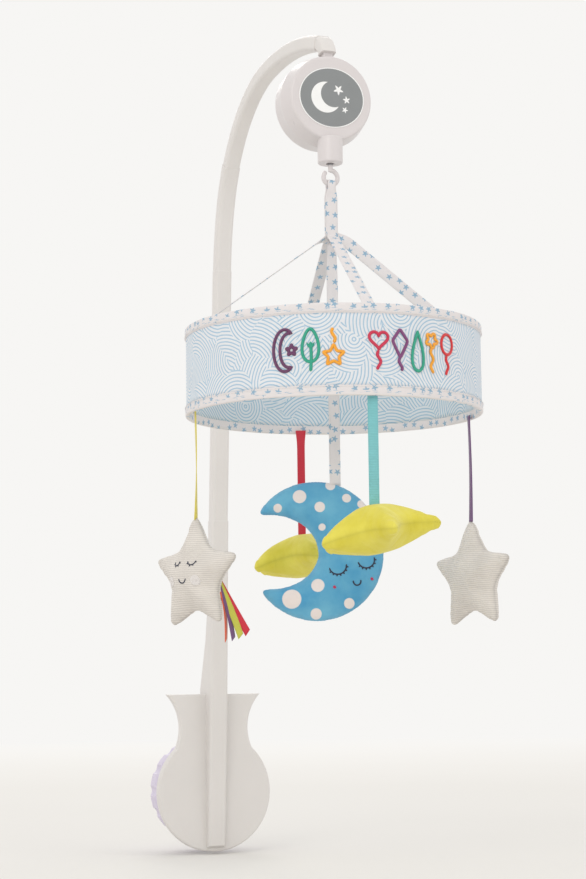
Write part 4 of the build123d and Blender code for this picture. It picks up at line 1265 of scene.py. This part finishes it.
sew("star_cheeks", *on_star, star_rounds, 1.1 * MM, 0.5 * MM, "cream", "grey_rib")

# %% [markdown]
# ### Tassel
# Four short ribbons are sewn into the left star's side seam and hang free. Each falls along its
# own bend and ends in a slanted cut.

# %% Hang the tassel
across, up, out = left_plane
notch = left_spot + across * 19 * MM - up * 3 * MM - out * 4 * MM
level, deeper = unit(np.array([0.94, -0.34, 0.0])), unit(np.array([0.34, 0.94, 0.0]))
TASSEL_L, TASSEL_W = 49 * MM, 5.5 * MM
for number, colour_name in enumerate(("orange", "purple", "lime", "red")):
    swing = radians(8 + 7 * number)
    drop = level * sin(swing) - UP * cos(swing)
    s = np.linspace(0, 1, 40)
    root = notch + deeper * (1.2 * number - 1.8) * MM
    bow = np.sin(pi * s) * (2.6 - 0.9 * number) * MM
    path = root + np.outer(s * TASSEL_L, drop) + np.outer(bow, level)
    turn = radians((70, 52, 18, 0)[number])
    side = level * cos(turn) + deeper * sin(turn)
    grid, cut, ring = tape_grid(path, side, TASSEL_W, 0.5 * MM)
    slant = np.clip((s - 0.8) / 0.2, 0, 1)[:, None] * ((grid - path[:, None]) @ side) * 0.6
    grid = grid - slant[..., None] * drop
    strip = carried(f"tassel_{colour_name}", [(grid, cut, ring)], ribbons[colour_name])
    belongs(strip, "star_left", "tassel_ribbon", "star_tassel")

# %% [markdown]
# ## Floor, light and camera
# The floor is a wide pale disc that fades into the colour of the room, so that no horizon shows.
# The light is soft: a bright even room, a large lamp from the front left, and one from behind for
# the rims. The camera stands low and a little to the left, and looks slightly up.

# %% Stage, lamps and camera
floor_z = cad_box[0][2] - 2 * MM
ROOM = (0.93, 0.921, 0.904, 1)
stage_r = np.concatenate([[0.001], np.linspace(0.5, 14, 20)])[:, None]
rim = pointing(np.linspace(0, 2 * pi, 96, endpoint=False))
disc = AXIS + UP * floor_z + stage_r * rim[:, None]
rows_n, cols_n = disc.shape[:2]
r, c = np.meshgrid(np.arange(rows_n), np.arange(cols_n - 1), indexing="ij")
near, nextward = r * cols_n + c, (r + 1) % rows_n * cols_n + c
quads = np.stack([near, near + 1, nextward + 1, nextward], -1)
floor_mesh = bpy.data.meshes.new("floor")
floor_mesh.from_pydata(disc.reshape(-1, 3).tolist(), [], quads.reshape(-1, 4).tolist())
floor_mesh.shade_smooth()
floor_material, g, shader = new_material("floor_paper", Specular_IOR_Level=0.0, Emission_Strength=1.0)
paper = g.use(tone, Vector=place_of(g), Size=0.6, Strength=0.015)
east, north, _ = g.axes(place_of(g))
square = g.math("MULTIPLY_ADD", east, east, g.times(north, north))
far = g.math("MULTIPLY_ADD", square, 1 / 12, -0.12, clamp=True)
near_paper = g.scaled(rgb(230, 228, 225), g.times(paper, g.minus(1.0, far)))
g.join(g.scaled(ROOM, far), shader.inputs["Emission Color"])
fibre = g.use(grain, Vector=place_of(g), Size=0.002)
connect(g, shader, near_paper, g.times(paper, 0.9), fibre, 0.02 * MM)
floor_mesh.materials.append(floor_material)
floor = bpy.data.objects.new("floor", floor_mesh)
scene.collection.objects.link(floor)

world = bpy.data.worlds.new("room")
world.use_nodes = True
world.node_tree.nodes["Background"].inputs["Color"].default_value = ROOM
scene.world = world


def lamp(name, place, aim, size, power, colour):
    """A soft square lamp that looks at a point."""
    data = bpy.data.lights.new(name, "AREA")
    data.size, data.energy, data.color = size, power, colour
    thing = bpy.data.objects.new(name, data)
    scene.collection.objects.link(thing)
    thing.location = place
    thing.rotation_euler = (Vector(aim) - Vector(place)).to_track_quat("-Z", "Y").to_euler()


lamp("key", (-1.6, -2.2, 1.5), (0, -0.3, 0.3), 1.4, 13, (1.0, 0.985, 0.96))
lamp("fill", (1.9, -1.9, 0.6), (0, -0.3, 0.3), 1.8, 3, (0.97, 0.98, 1.0))
lamp("rim", (1.4, 4.6, 3.4), (0, -0.3, 0.35), 2.6, 60, (1.0, 0.99, 0.96))

eye = Vector((-0.5863, -1.7912, 0.1021))
level_look = Vector((0.351, 0.936, 0.0)).normalized()
TILT, ROLL = radians(6.97), 0.0126
look = level_look * cos(TILT) + Vector((0, 0, sin(TILT)))
right = look.cross(Vector((0, 0, 1))).normalized()
above = right.cross(look)
right_rolled = right * cos(ROLL) - above * sin(ROLL)
above_rolled = right * sin(ROLL) + above * cos(ROLL)
camera_data = bpy.data.cameras.new("camera")
camera_data.lens, camera_data.sensor_width = 80.9, 36.0
camera = bpy.data.objects.new("camera", camera_data)
scene.collection.objects.link(camera)
turned = Matrix((right_rolled, above_rolled, -look)).transposed()
camera.matrix_world = Matrix.Translation(eye) @ turned.to_4x4()
scene.camera = camera
scene.view_settings.view_transform = "Standard"
print("camera looks up", round(TILT * 180 / pi, 1), "degrees")
